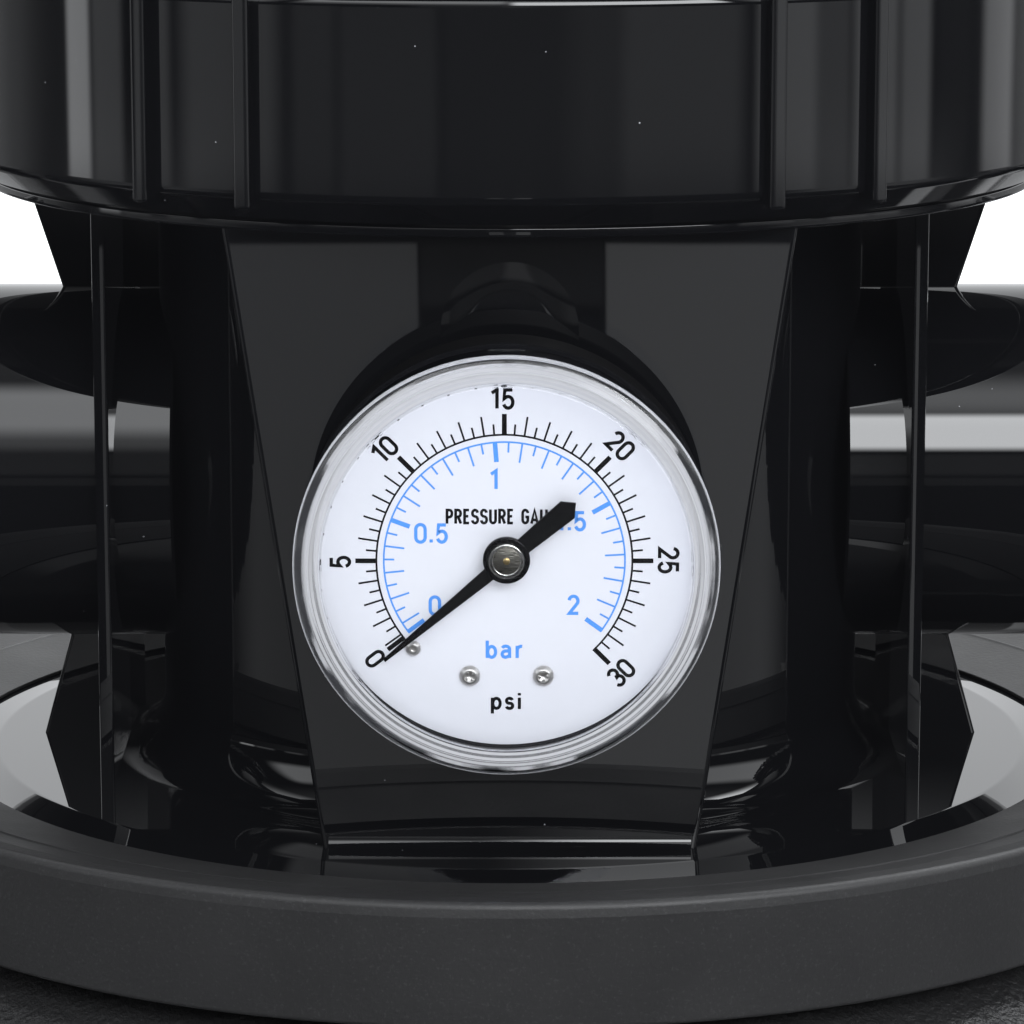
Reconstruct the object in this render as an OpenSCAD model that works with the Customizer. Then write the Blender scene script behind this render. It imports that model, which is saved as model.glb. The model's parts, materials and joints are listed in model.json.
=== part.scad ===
// Sand filter tank with a top-mounted selector valve and pressure gauge.
// Origin: centre of the foot's underside. +Z up, gauge towards -Y, pump port -X, return port +X,
// waste port +Y. All sizes in millimetres.

/* [Tank] */
// Outer radius of the tank
tank_r = 175; // [170:1:180]
// Wall thickness of the tank
tank_wall = 5; // [4:0.5:6]
// Height of the valve seat: the top face of the clamp ring
seat_z = 470; // [460:1:500]
// Outer radius of the foot where it meets the floor
foot_r = 168; // [164:1:172]
// Height at which the straight side of the tank begins
side_low = 98; // [98:1:105]

/* [Clamp ring] */
// Outer radius of the clamp ring at its top
clamp_r = 102.5; // [102:0.5:104]
// Height of the clamp ring
clamp_h = 17.6; // [17:0.1:18]
// Gap between the two halves of the clamp ring
clamp_gap = 3; // [2:0.5:4]

/* [Valve body] */
// Outer radius of the central cylinder
core_r = 51.5; // [51:0.5:53]
// Radius of the rim under the lock collar
rim_r = 76.5; // [76:0.1:77]
// Outer radius of a port pipe
pipe_r = 26; // [25:0.5:26.5]
// Bore radius of a port pipe
pipe_bore_r = 21.5; // [20:0.5:22]
// Height of the port axes above the clamp ring's top face
port_h = 38.7; // [38:0.1:40]
// Distance from the valve axis to the flat gauge panel
panel_y = 66; // [65:0.5:67]
// Half width of the gauge panel at its top
panel_top = 38; // [37:0.5:39]
// Half width of the gauge panel at its foot
panel_foot = 24.5; // [24:0.5:26]

/* [Lock collar] */
// Outer radius of the lock collar
collar_r = 81.8; // [81:0.1:83]
// Number of rib pairs around the collar
rib_pairs = 6; // [4:1:8]

/* [Selector] */
// Radius of the selector shaft
shaft_r = 9; // [8.5:0.5:9]
// Offset of the handle's cam circle from its pin
cam_offset = 14; // [12:1:15]
// Reach of the handle from the valve axis
handle_reach = 108; // [100:1:115]

/* [Gauge] */
// Outer radius of the clear gauge cap
cap_r = 27.25; // [27:0.25:27.5]
// Height of the gauge's centre above the clamp ring's top face
gauge_h = 41.6; // [41:0.1:43]
// Teeth of the gauge's pinion
pinion_teeth = 12; // [12:2:14]
// Module of the gauge's gear pair
gear_module = 0.25; // [0.25:0.01:0.26]

/* [Hose tails] */
// Outer radius of a hose tail
tail_r = 19; // [18.5:0.5:19]
// Distance from the valve axis to a hose tail's end
tail_end = 174; // [170:1:175]

/* [Underdrain] */
// Outer radius of the standpipe
stand_r = 25; // [25:0.1:25.1]
// Number of slotted laterals
lateral_count = 8; // [6:1:8]

/* [Hidden] */
$fn = 96;
run_gap = 0.05;                    // radial clearance of a turning fit
crown_r = 190;                     // radius of the tank's shoulder dome
knuckle_r = 60;                    // radius between shoulder dome and side
base_crown_r = 260;                // radius of the tank's bottom dome
base_knuckle_r = 40;
neck_r = 91;                       // neck of the tank under its flange
flange_r = 95.8;                   // tank flange and valve flange
crown_z = seat_z - 185.5;          // centre of the shoulder dome
side_high = crown_z + sqrt(pow(crown_r - knuckle_r, 2) - pow(tank_r - knuckle_r, 2));
base_crown_z = side_low + sqrt(pow(base_crown_r - base_knuckle_r, 2) - pow(tank_r - base_knuckle_r, 2));
floor_of_tank = base_crown_z - base_crown_r + tank_wall;
valve_flange_top = seat_z - 4;
valve_face_z = seat_z - 2.8;        // flat top of the valve body's flange, inside its sloping edge
valve_face_r = 76.5;
lip_r = 82.6;                       // inner edge of the clamp ring's sloping top
valve_flange_low = seat_z - 9;
tank_flange_low = seat_z - 14;
port_z = seat_z + port_h;
boss_r = 9.3;                      // low round boss on the panel above the gauge, and its flat middle
boss_face_r = 5.3;
boss_h = 0.41;
gauge_x = -0.4;                    // the gauge screws in a little off the panel's middle
rim_z = seat_z + 81.5;             // underside of the valve body's rim
rim_top = rim_z + 1.4;
bowl_floor = rim_z + 6;            // floor that the rotor's gasket lies on
bowl_top = rim_z + 23;
bowl_r = 75.2;                     // outer radius of the threaded bowl
bowl_in_r = 69;
chamber_r = 47;                    // inside of the central cylinder
centre_tube_r = 30;
centre_bore_r = 22.5;
collar_low = rim_z + 1.8;
collar_top = rim_z + 32;
cover_flange_top = collar_top - 3.5;
hub_top = seat_z + 124;            // top of the cover's hub
washer_t = 2;
pin_z = hub_top + washer_t + 19;   // axis of the handle's pin
pin_r = 3;
rotor_low = bowl_floor + 2;
rotor_top = rotor_low + 6;
spring_low = rotor_top + 1;
spring_high = seat_z + 112.5;
gauge_z = seat_z + gauge_h;
dial_y = -87;
sector_teeth = 72;                 // teeth of the full circle that the sector is cut from
gear_gap = gear_module * (pinion_teeth + sector_teeth) / 2;
sector_z = gauge_z - gear_gap;
socket_z = 48.5;                   // where a port pipe sits in the valve body
thread_z = 103;                    // start of the union's thread
thread_r = 29.8;
union_face = 118;                  // sealing face of a port pipe
tail_reach = 5.6;                  // from the sector's arbor to its tail pin
link_l = 9.2;                      // between the link's two holes
drain_z = side_low + 22;
drain_r = 17;
hub_z = 75;                        // height of the laterals

// ---- helpers ----

// A ring about Z from z1 to z2
module ring(r_out, r_in, z1, z2) {
    translate([0, 0, z1]) difference() {
        cylinder(r = r_out, h = z2 - z1);
        translate([0, 0, -1]) cylinder(r = r_in, h = z2 - z1 + 2);
    }
}

// A round seal about Z
module o_ring(mean_r, cord_r, z) {
    translate([0, 0, z]) rotate_extrude() translate([mean_r, 0]) circle(r = cord_r, $fn = 32);
}

// Turns a shape built along +Z, with z = 0 on the valve axis, onto a port at an angle from +X
module at_port(angle) {
    translate([0, 0, port_z]) rotate([0, 0, angle]) rotate([0, 90, 0]) children();
}

// Turns a shape built along +Z so that it points to the front, -Y, from height z
module to_front(z) {
    translate([0, 0, z]) rotate([90, 0, 0]) children();
}

// Turns a shape built along +Z onto the gauge's own axis
module at_gauge(z) {
    translate([gauge_x, 0, 0]) to_front(z) children();
}

// Half section of the tank's outer surface, drawn inwards by inset
module tank_section(inset) {
    crown_t = (tank_r - knuckle_r) / (crown_r - knuckle_r);
    crown_line = crown_z + crown_r * sqrt(1 - crown_t * crown_t);
    base_t = (tank_r - base_knuckle_r) / (base_crown_r - base_knuckle_r);
    base_line = base_crown_z - base_crown_r * sqrt(1 - base_t * base_t);
    intersection() {
        translate([0, -10]) square([tank_r + 10, seat_z + 100]);
        union() {
            translate([0, side_low]) square([tank_r - inset, side_high - side_low]);
            translate([tank_r - knuckle_r, side_high]) circle(r = knuckle_r - inset);
            translate([0, side_high - 1]) square([tank_r - knuckle_r, crown_line - side_high + 1]);
            intersection() {
                translate([0, crown_z]) circle(r = crown_r - inset, $fn = 180);
                translate([0, crown_line - 0.5]) square([tank_r, crown_r]);
            }
            translate([tank_r - base_knuckle_r, side_low]) circle(r = base_knuckle_r - inset);
            translate([0, base_line]) square([tank_r - base_knuckle_r, side_low - base_line + 1]);
            intersection() {
                translate([0, base_crown_z]) circle(r = base_crown_r - inset, $fn = 180);
                translate([0, base_line + 0.5 - base_crown_r]) square([tank_r, base_crown_r]);
            }
        }
    }
}

// ---- tank ----

module tank_shell() {
    color("#1c1d1f") difference() {
        union() {
            rotate_extrude() tank_section(0);
            translate([0, 0, tank_flange_low - 20]) cylinder(r = neck_r, h = 21);
            translate([0, 0, tank_flange_low]) cylinder(r = flange_r, h = 5);
            to_front(drain_z) cylinder(r = 32, h = 179);
        }
        difference() {
            rotate_extrude() tank_section(tank_wall);
            to_front(drain_z) translate([0, 0, 164]) cylinder(r = 30, h = 20);
        }
        translate([0, 0, tank_flange_low - 40]) cylinder(r = 82, h = 60);
        to_front(drain_z) translate([0, 0, 150]) cylinder(r = drain_r + run_gap, h = 40);
    }
}

module tank_foot() {
    color("#202124") difference() {
        rotate_extrude() difference() {
            polygon([[0, 0], [foot_r, 0], [foot_r, 6], [foot_r - 6, 10], [foot_r - 9, side_low - 8],
                [foot_r - 16, side_low - 8], [foot_r - 13, 10], [foot_r - 20, 4], [0, 4]]);
            translate([0, base_crown_z]) circle(r = base_crown_r + 0.05, $fn = 180);
        }
        for (a = [0 : 90 : 270]) rotate([0, 0, a + 45])
            translate([foot_r - 40, -18, 22]) cube([60, 36, 14]);
    }
}

module neck_seal() {
    color("#0c0c0d") o_ring(85.6, 1.5, valve_flange_low + 1.5);
}

// ---- clamp ring ----

module clamp_section() {
    low = seat_z - clamp_h;
    polygon([[neck_r + 0.3, low], [clamp_r - 2.5, low], [clamp_r, seat_z - 2.5],
        [clamp_r - 2.5, seat_z - 2.5], [clamp_r - 2.5, seat_z], [lip_r, seat_z - 3],
        [lip_r, seat_z - 3.5], [86, valve_flange_top], [flange_r + 0.4, valve_flange_top],
        [flange_r + 0.4, tank_flange_low], [neck_r + 0.3, tank_flange_low]]);
    translate([clamp_r - 2.5, seat_z - 2.5]) circle(r = 2.5, $fn = 48);
    translate([94.5, seat_z - 1.05]) circle(r = 0.45, $fn = 24);
}

// Front half of the clamp ring with its two bolting ears
module clamp_half() {
    ear_low = seat_z - clamp_h;
    difference() {
        union() {
            rotate([0, 0, 180]) rotate_extrude(angle = 180) clamp_section();
            for (s = [-1, 1]) translate([s * 112 - 12, -14, ear_low]) cube([24, 14, clamp_h - 1.6]);
        }
        translate([-140, -clamp_gap / 2, ear_low - 5]) cube([280, 20, 40]);
        translate([0, 0, tank_flange_low])
            cylinder(r = flange_r + 0.4, h = valve_flange_top - tank_flange_low);
        for (s = [-1, 1]) translate([s * 114, 1, seat_z - 9.5]) rotate([90, 0, 0]) cylinder(r = 4.2, h = 30);
    }
}

module clamp_front() {
    color("#2b2c2f") clamp_half();
}

module clamp_rear() {
    color("#2b2c2f") mirror([0, 1, 0]) clamp_half();
}

module clamp_bolts() {
    color("silver") for (s = [-1, 1]) translate([s * 114, 0, seat_z - 9.5]) rotate([90, 0, 0]) {
        translate([0, 0, -25]) cylinder(r = 4, h = 40.6);
        translate([0, 0, 15.6]) cylinder(r = 7.5, h = 5.3, $fn = 6);
    }
}

module clamp_nuts() {
    color("silver") for (s = [-1, 1]) translate([s * 114, 15.6, seat_z - 9.5]) rotate([-90, 0, 0])
        difference() {
            cylinder(r = 7.5, h = 6.5, $fn = 6);
            translate([0, 0, -1]) cylinder(r = 4, h = 9);
        }
}

module clamp_washers() {
    color("silver") for (s = [-1, 1], t = [-1, 1]) translate([s * 114, t * 14.8, seat_z - 9.5])
        rotate([90, 0, 0]) difference() {
            translate([0, 0, -0.8]) cylinder(r = 8, h = 1.6);
            translate([0, 0, -2]) cylinder(r = 4.2, h = 4);
        }
}

// ---- drain ----

module drain_spigot() {
    color("#202124") to_front(drain_z) difference() {
        union() {
            translate([0, 0, 150]) cylinder(r = drain_r, h = 53);
            translate([0, 0, 181]) cylinder(r = 28, h = 4);
        }
        translate([0, 0, 140]) cylinder(r = 12, h = 80);
    }
}

module drain_gasket() {
    color("#0c0c0d") to_front(drain_z) ring(27, drain_r, 179, 181);
}

module drain_locknut() {
    color("#202124") to_front(drain_z) difference() {
        translate([0, 0, 156]) cylinder(r = 25, h = 8, $fn = 6);
        translate([0, 0, 150]) cylinder(r = drain_r, h = 20);
    }
}

module drain_screen() {
    color("#3a3b3e") to_front(drain_z) difference() {
        translate([0, 0, 128]) cylinder(r = 12, h = 42);
        translate([0, 0, 130]) cylinder(r = 9.5, h = 50);
        for (i = [0 : 5]) translate([-20, -6, 132 + i * 2.6]) cube([40, 12, 1.1]);
    }
}

module drain_cap() {
    color("#202124") to_front(drain_z) difference() {
        union() {
            translate([0, 0, 190]) cylinder(r = 21, h = 19);
            for (a = [0 : 20 : 340]) rotate([0, 0, a])
                translate([20, -1.5, 191]) cube([2.4, 3, 16]);
        }
        translate([0, 0, 189]) cylinder(r = drain_r + run_gap, h = 16);
    }
}

module drain_cap_washer() {
    color("#0c0c0d") to_front(drain_z) ring(drain_r - 0.2, 12.5, 203, 205);
}

// ---- underdrain inside the tank ----

module standpipe() {
    color("#d9dadb") ring(stand_r, centre_bore_r, hub_z + 8, valve_flange_top + 14);
}

module standpipe_seal() {
    color("#0c0c0d") o_ring(stand_r + 1.2, 1.2, seat_z - 12);
}

module lateral_hub() {
    color("#c9cacc") difference() {
        union() {
            translate([0, 0, hub_z - 18]) cylinder(r = 36, h = 44);
            translate([0, 0, floor_of_tank + 0.4]) cylinder(r = 14, h = hub_z - floor_of_tank);
        }
        translate([0, 0, hub_z + 8]) cylinder(r = stand_r, h = 30);
        translate([0, 0, hub_z - 12]) cylinder(r = centre_bore_r, h = 30);
        for (i = [0 : lateral_count - 1]) rotate([0, 0, i * 360 / lateral_count + 22.5])
            translate([0, 0, hub_z]) rotate([0, 90, 0]) cylinder(r = 7, h = 50);
    }
}

module laterals() {
    color("#d9dadb") for (i = [0 : lateral_count - 1]) rotate([0, 0, i * 360 / lateral_count + 22.5])
        translate([0, 0, hub_z]) rotate([0, 90, 0]) difference() {
            union() {
                translate([0, 0, 28]) cylinder(r = 7, h = 20);
                translate([0, 0, 36.4]) cylinder(r = 9, h = 88);
            }
            translate([0, 0, 20]) cylinder(r = 5, h = 100);
            for (k = [0 : 7]) translate([-12, -12, 48 + k * 9]) cube([5.5, 24, 0.8]);
        }
}

// ---- valve body ----

// Outline of the gauge panel, in X and Z
module panel_outline(inset) {
    polygon([[-panel_foot + inset, valve_flange_low + 1 + inset],
        [panel_foot - inset, valve_flange_low + 1 + inset],
        [panel_top - inset, rim_z + 1 - inset], [-panel_top + inset, rim_z + 1 - inset]]);
}

// Port pipe welded into a socket of the valve body, with the union's thread at its end
module port_pipe(angle) {
    color("#141517") at_port(angle) difference() {
        union() {
            translate([0, 0, socket_z]) cylinder(r = pipe_r, h = union_face - socket_z);
            translate([0, 0, thread_z]) cylinder(r = thread_r, h = union_face - thread_z);
        }
        translate([0, 0, socket_z - 1]) cylinder(r = pipe_bore_r, h = 100);
        ring(26.6, 23.4, union_face - 1.4, union_face + 1);
    }
}

// A quarter-round fillet about the central cylinder's foot
module foot_fillet(r) {
    rotate_extrude() difference() {
        translate([core_r - 1, valve_face_z - 1]) square([r + 1, r + 1]);
        translate([core_r + r, valve_face_z + r]) circle(r = r, $fn = 64);
    }
}

// A small fillet where the gauge panel stands on the flange
module panel_fillet(r) {
    translate([-panel_foot, -panel_y, valve_face_z]) rotate([90, 0, 90])
        linear_extrude(height = 2 * panel_foot) difference() {
            translate([-r, -1]) square([r + 1, r + 1]);
            translate([-r, r]) circle(r = r, $fn = 48);
        }
}

// Outer gusset on one side: an upper web under the rim and a lower web on the flange
module gusset() {
    rotate([90, 0, 0]) translate([0, 0, -1.5]) linear_extrude(height = 3) {
        polygon([[50, port_z], [64.6, port_z + 22.3], [71, rim_z - 0.5], [71, rim_z + 1], [50, rim_z + 1]]);
        polygon([[50, port_z], [65.6, seat_z + 12], [70, seat_z - 5], [70, seat_z - 6], [50, seat_z - 6]]);
    }
}

module side_plate() {
    translate([56.8, -29, valve_flange_top - 1]) cube([2, 58, rim_z - valve_flange_top + 2]);
}

module valve_solid() {
    translate([0, 0, valve_flange_low]) cylinder(r = flange_r, h = 5);
    rotate_extrude() polygon([[30, valve_flange_low + 1], [85, valve_flange_low + 1],
        [85, valve_flange_top], [valve_face_r, valve_face_z], [30, valve_face_z]]);
    ring(81.8, 74, seat_z - 24, valve_flange_low + 1);
    translate([0, 0, valve_flange_low]) cylinder(r = core_r, h = rim_z - valve_flange_low + 1);
    foot_fillet(8);
    panel_fillet(1.6);
    translate([0, 0, rim_z]) cylinder(r = rim_r, h = 1.4);
    translate([0, 0, rim_z]) cylinder(r = bowl_r, h = bowl_top - rim_z);
    to_front(0) translate([0, 0, 30]) linear_extrude(height = panel_y - 30) panel_outline(0);
    to_front(gauge_z + 26.3) translate([0, 0, panel_y - boss_h / 2])
        cylinder(r1 = 1.5 * boss_r - 0.5 * boss_face_r, r2 = boss_face_r, h = 1.5 * boss_h);
    at_gauge(gauge_z) translate([0, 0, 50]) cylinder(r = 12, h = panel_y - 47);
    for (s = [0, 1]) mirror([s, 0, 0]) {
        gusset();
        side_plate();
    }
    translate([0, 0, seat_z - 34]) cylinder(r = centre_tube_r, h = 40);
}

// Quarter chambers between the centre tube and the central cylinder; the front one opens to the tank
module chambers() {
    difference() {
        union() {
            ring(chamber_r, centre_tube_r, valve_flange_top, bowl_floor + 1);
            intersection() {
                ring(chamber_r, centre_tube_r, valve_flange_low - 10, valve_flange_top + 1);
                translate([-18, -60, 0]) cube([36, 50, seat_z + 10]);
            }
        }
        for (a = [45, 135]) rotate([0, 0, a]) translate([-60, -2, 0]) cube([120, 4, seat_z + 150]);
    }
}

module valve_body() {
    color("#141517") difference() {
        valve_solid();
        chambers();
        translate([0, 0, bowl_floor]) cylinder(r = bowl_in_r, h = 40);
        translate([0, 0, seat_z - 40]) cylinder(r = centre_bore_r, h = 160);
        translate([0, 0, seat_z - 40]) cylinder(r = stand_r, h = 50);
        ring(stand_r + 2.4, stand_r - 1, seat_z - 13.4, seat_z - 10.6);
        ring(87.3, 83.9, valve_flange_low - 1, valve_flange_low + 3);
        for (a = [0, 90, 180]) at_port(a) {
            translate([0, 0, centre_tube_r + 1]) cylinder(r = pipe_bore_r, h = 30);
            translate([0, 0, socket_z]) cylinder(r = pipe_r, h = 40);
        }
        to_front(0) translate([-20, seat_z + 4, 45]) cube([40, 68, 16]);
        to_front(0) translate([-16, seat_z + 4, 38]) cube([32, 68, 10]);
        at_gauge(gauge_z) translate([0, 0, 55]) cylinder(r = 6.6, h = 20);
    }
}

// ---- selector inside the valve ----

module seat_gasket() {
    color("#0f0f10") translate([0, 0, bowl_floor]) difference() {
        union() {
            difference() {
                cylinder(r = 52, h = 2);
                translate([0, 0, -1]) cylinder(r = chamber_r, h = 4);
            }
            difference() {
                cylinder(r = centre_tube_r, h = 2);
                translate([0, 0, -1]) cylinder(r = centre_bore_r, h = 4);
            }
            for (a = [45, 135]) rotate([0, 0, a]) difference() {
                translate([-49, -2, 0]) cube([98, 4, 2]);
                translate([0, 0, -1]) cylinder(r = centre_bore_r + 2, h = 4);
            }
        }
    }
}

module rotor() {
    color("#26282b") difference() {
        union() {
            translate([0, 0, rotor_low]) cylinder(r = 66, h = rotor_top - rotor_low);
            translate([0, 0, rotor_low]) cylinder(r = 18.5, h = spring_low - rotor_low);
            translate([0, 0, rotor_low]) cylinder(r = 12.4, h = 14);
            for (a = [0 : 60 : 300]) rotate([0, 0, a + 30])
                translate([20, -1.5, rotor_top - 1]) cube([42, 3, 4]);
        }
        intersection() {
            ring(chamber_r - 1, centre_tube_r + 1, rotor_low - 1, rotor_top + 1);
            translate([-24, -60, 0]) cube([48, 50, rotor_top + 10]);
        }
        intersection() {
            translate([0, 0, rotor_low - 1]) cylinder(r = chamber_r - 1, h = 4.5);
            translate([-16, 16, 0]) cube([32, 50, rotor_top + 10]);
        }
        translate([0, 0, rotor_low + 3]) cylinder(r = shaft_r, h = 30);
    }
}

module rotor_shaft() {
    color("#3a3d41") difference() {
        translate([0, 0, rotor_low + 3]) cylinder(r = shaft_r, h = pin_z + 8 - rotor_low - 3);
        for (z = [seat_z + 116.4, seat_z + 119.6]) ring(shaft_r + 1, shaft_r - 1.8, z - 1, z + 1);
        translate([-20, 0, pin_z]) rotate([0, 90, 0]) cylinder(r = pin_r, h = 40);
    }
}

module shaft_seals() {
    color("#0c0c0d") for (z = [seat_z + 116.4, seat_z + 119.6]) o_ring(shaft_r - 0.9, 0.9, z);
}

// Coil of the rotor's compression spring as a swept tube
function coil_ring(c, up, out, r, n) =
    [for (i = [0 : n - 1]) c + r * (cos(i * 360 / n) * out + sin(i * 360 / n) * up)];
module rotor_spring() {
    wire_r = 1.6;
    mean_r = 15.4;
    turns = 3.5;
    steps = 84;
    sides = 10;
    low = spring_low + wire_r;
    rise = spring_high - wire_r - low;
    pts = [for (s = [0 : steps]) let (a = s * turns * 360 / steps)
        each coil_ring([mean_r * cos(a), mean_r * sin(a), low + rise * s / steps],
            [0, 0, 1], [cos(a), sin(a), 0], wire_r, sides)];
    sides_faces = [for (s = [0 : steps - 1], i = [0 : sides - 1]) let (j = (i + 1) % sides)
        [s * sides + i, (s + 1) * sides + i, (s + 1) * sides + j, s * sides + j]];
    start = [for (i = [0 : sides - 1]) i];
    end = [for (i = [0 : sides - 1]) steps * sides + sides - 1 - i];
    color("#b9bdc2") polyhedron(points = pts, faces = concat(sides_faces, [start], [end]));
}

module spring_washer() {
    color("#b9bdc2") ring(19, shaft_r + 0.3, spring_high, seat_z + 114);
}

module valve_cover() {
    color("#17181a") difference() {
        rotate_extrude() polygon([[0, seat_z + 108], [bowl_in_r - 2, bowl_top], [bowl_r - 0.2, bowl_top],
            [bowl_r - 0.2, cover_flange_top], [65.5, cover_flange_top], [62, seat_z + 117],
            [34, seat_z + 117], [31, seat_z + 119], [24, seat_z + 119], [22, hub_top], [0, hub_top]]);
        translate([0, 0, bowl_top - 10]) cylinder(r = 20, h = seat_z + 124 - bowl_top);
        rotate_extrude() polygon([[0, bowl_top - 5], [bowl_in_r - 2.6, bowl_top - 5],
            [bowl_in_r - 2.6, bowl_top], [58, seat_z + 112.5], [0, seat_z + 112.5]]);
        translate([0, 0, seat_z + 100]) cylinder(r = shaft_r + run_gap, h = 40);
        ring(73.4, 70.6, bowl_top - 1, bowl_top + 2.6);
    }
}

module cover_seal() {
    color("#0c0c0d") o_ring(72, 1.3, bowl_top + 1.3);
}

module collar_section() {
    polygon([[bowl_r + 0.2, collar_low], [77.5, collar_low], [collar_r, rim_z + 5.1],
        [collar_r, collar_top - 2], [collar_r - 2, collar_top - 2], [collar_r - 2, collar_top],
        [66.5, collar_top], [66.5, cover_flange_top], [bowl_r + 0.2, cover_flange_top]]);
    translate([collar_r - 2, collar_top - 2]) circle(r = 2, $fn = 48);
}

module lock_collar() {
    color("#101114") difference() {
        union() {
            rotate_extrude() collar_section();
            for (i = [0 : rib_pairs - 1], s = [-1, 1])
                rotate([0, 0, 30 - 90 + i * 360 / rib_pairs + s * 5.5])
                    translate([collar_r - 3, -1.15, rim_z + 3.6]) cube([5, 2.3, collar_top - rim_z - 2.6]);
        }
        translate([0, 0, collar_low - 5]) cylinder(r = bowl_r + 0.2, h = cover_flange_top - collar_low + 5);
    }
}

module position_plate() {
    color("#c9ccd0") ring(60, 36, seat_z + 117, seat_z + 118);
}

module handle_washer() {
    color("#e6e6e4") ring(20, shaft_r + 0.3, hub_top, hub_top + washer_t);
}

// Lever with two cam cheeks astride the shaft and a cross grip at its end
module handle() {
    color("#1b1c1f") difference() {
        union() {
            for (s = [-1, 1]) translate([s * 13.5 - 4, 0, 0]) rotate([90, 0, 90]) {
                translate([-cam_offset, pin_z]) cylinder(r = 19 - run_gap, h = 8);
                translate([0, pin_z]) cylinder(r = 10, h = 8);
            }
            translate([-17.5, -handle_reach + 8, pin_z + 1]) cube([35, handle_reach - 34, 12]);
            translate([-46, -handle_reach, pin_z + 8]) rotate([0, 90, 0]) cylinder(r = 9, h = 92);
            for (s = [-1, 1]) translate([s * 46, -handle_reach, pin_z + 8]) sphere(r = 9);
        }
        translate([-9.5, -25, pin_z - 30]) cube([19, 50, 60]);
        translate([-30, 0, pin_z]) rotate([0, 90, 0]) cylinder(r = pin_r + run_gap, h = 60);
    }
}

module handle_pin() {
    color("silver") translate([-19, 0, pin_z]) rotate([0, 90, 0]) cylinder(r = pin_r, h = 38);
}

// ---- port unions ----

module union_nut(angle) {
    color("#1b1c1f") at_port(angle) difference() {
        union() {
            translate([0, 0, 104]) cylinder(r = 34.5, h = 25);
            for (a = [0 : 30 : 330]) rotate([0, 0, a + 15])
                translate([33.5, -2.5, 105]) cube([2.5, 5, 22]);
        }
        translate([0, 0, thread_z]) cylinder(r = thread_r, h = 22);
        translate([0, 0, thread_z]) cylinder(r = 25.2, h = 30);
    }
}

module hose_tail(angle) {
    color("#1b1c1f") at_port(angle) difference() {
        union() {
            translate([0, 0, union_face]) cylinder(r = thread_r - 0.2, h = 7);
            translate([0, 0, union_face]) cylinder(r = 25.2, h = 15);
            translate([0, 0, 133]) cylinder(r1 = 25.2, r2 = tail_r, h = 5);
            translate([0, 0, 133]) cylinder(r = tail_r, h = tail_end - 133);
        }
        translate([0, 0, 110]) cylinder(r = 16, h = 80);
    }
}

module union_seal(angle) {
    color("#0c0c0d") at_port(angle) o_ring(25, 0.7, union_face - 0.7);
}

// ---- pressure gauge ----

module gauge_case() {
    color("#111214") at_gauge(gauge_z) difference() {
        union() {
            translate([0, 0, 70]) cylinder(r = 26.4, h = 18);
            translate([0, 0, 70]) cylinder(r = 27, h = 12);
        }
        translate([0, 0, 72]) cylinder(r = 24.8, h = 20);
        translate([0, 0, 60]) cylinder(r = 6.6, h = 20);
    }
}

module gauge_stem() {
    color("#b08d57") at_gauge(gauge_z) {
        difference() {
            translate([0, 0, 54]) cylinder(r = 6.6, h = 18);
            translate([0, 0, 50]) cylinder(r = 1.5, h = 21);
        }
        translate([-9, -20, 72]) cube([18, 12, 3]);
        translate([-6, -11, 72]) cube([12, 17, 3]);
    }
}

module gauge_seal() {
    color("#e8e8e4") at_gauge(gauge_z) ring(9, 6.6, panel_y + 3, 70);
}

stop_at = [-12.05, -11.9, 0];       // place of the pointer's stop on the dial
screw_at = [4.75, -15.55];          // place of a dial screw
module gauge_dial() {
    color("#eef1f8") at_gauge(gauge_z) difference() {
        translate([0, 0, 86.4]) cylinder(r = 24.7, h = 0.6);
        translate([0, 0, 86]) cylinder(r = 1.2, h = 2);
        for (s = [-1, 1]) translate([s * screw_at[0], screw_at[1], 86]) cylinder(r = 0.8, h = 2);
        translate(stop_at) translate([0, 0, 86]) cylinder(r = 0.5, h = 2);
    }
}

module dial_screws() {
    color("silver") at_gauge(gauge_z) for (s = [-1, 1]) translate([s * screw_at[0], screw_at[1], 0]) {
        translate([0, 0, 83.4]) cylinder(r = 0.8, h = 3.6);
        difference() {
            translate([0, 0, 87]) cylinder(r = 1.33, h = 0.8);
            translate([-0.8, -0.15, 87.4]) cube([1.6, 0.3, 1]);
            translate([-0.15, -0.8, 87.4]) cube([0.3, 1.6, 1]);
        }
    }
}

module stop_pin() {
    color("silver") at_gauge(gauge_z) translate(stop_at) {
        translate([0, 0, 85.8]) cylinder(r = 0.5, h = 1.2);
        translate([0, 0, 87]) cylinder(r = 1, h = 0.7);
    }
}

// Pointer at its rest angle, a little above zero
rest_angle = 220;
pointer_cap_r = 2.3;
module pointer() {
    color("#0b0b0c") at_gauge(gauge_z) rotate([0, 0, rest_angle]) difference() {
        union() {
            translate([0, 0, 88.2]) linear_extrude(height = 0.5) polygon([[20.6, 0.25], [0, 1.02],
                [-3.05, 1.12], [-10.2, 1.42], [-11.6, 0], [-10.2, -1.42], [-3.05, -1.12],
                [0, -1.02], [20.6, -0.25]]);
            translate([0, 0, 88.2]) cylinder(r = 3.05, h = 0.9);
        }
        translate([0, 0, 88]) cylinder(r = pointer_cap_r, h = 3);
    }
}

// A spur gear with simple straight-sided teeth, tooth centred on +X
module spur(teeth, m, h) {
    pitch = m * teeth / 2;
    root = pitch - 1.25 * m;
    cylinder(r = root, h = h);
    for (i = [0 : teeth - 1]) rotate([0, 0, i * 360 / teeth]) linear_extrude(height = h)
        polygon([[root - 0.1, -0.9 * m], [pitch, -0.62 * m], [pitch + 0.85 * m, -0.3 * m],
            [pitch + 0.85 * m, 0.3 * m], [pitch, 0.62 * m], [root - 0.1, 0.9 * m]]);
}

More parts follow.
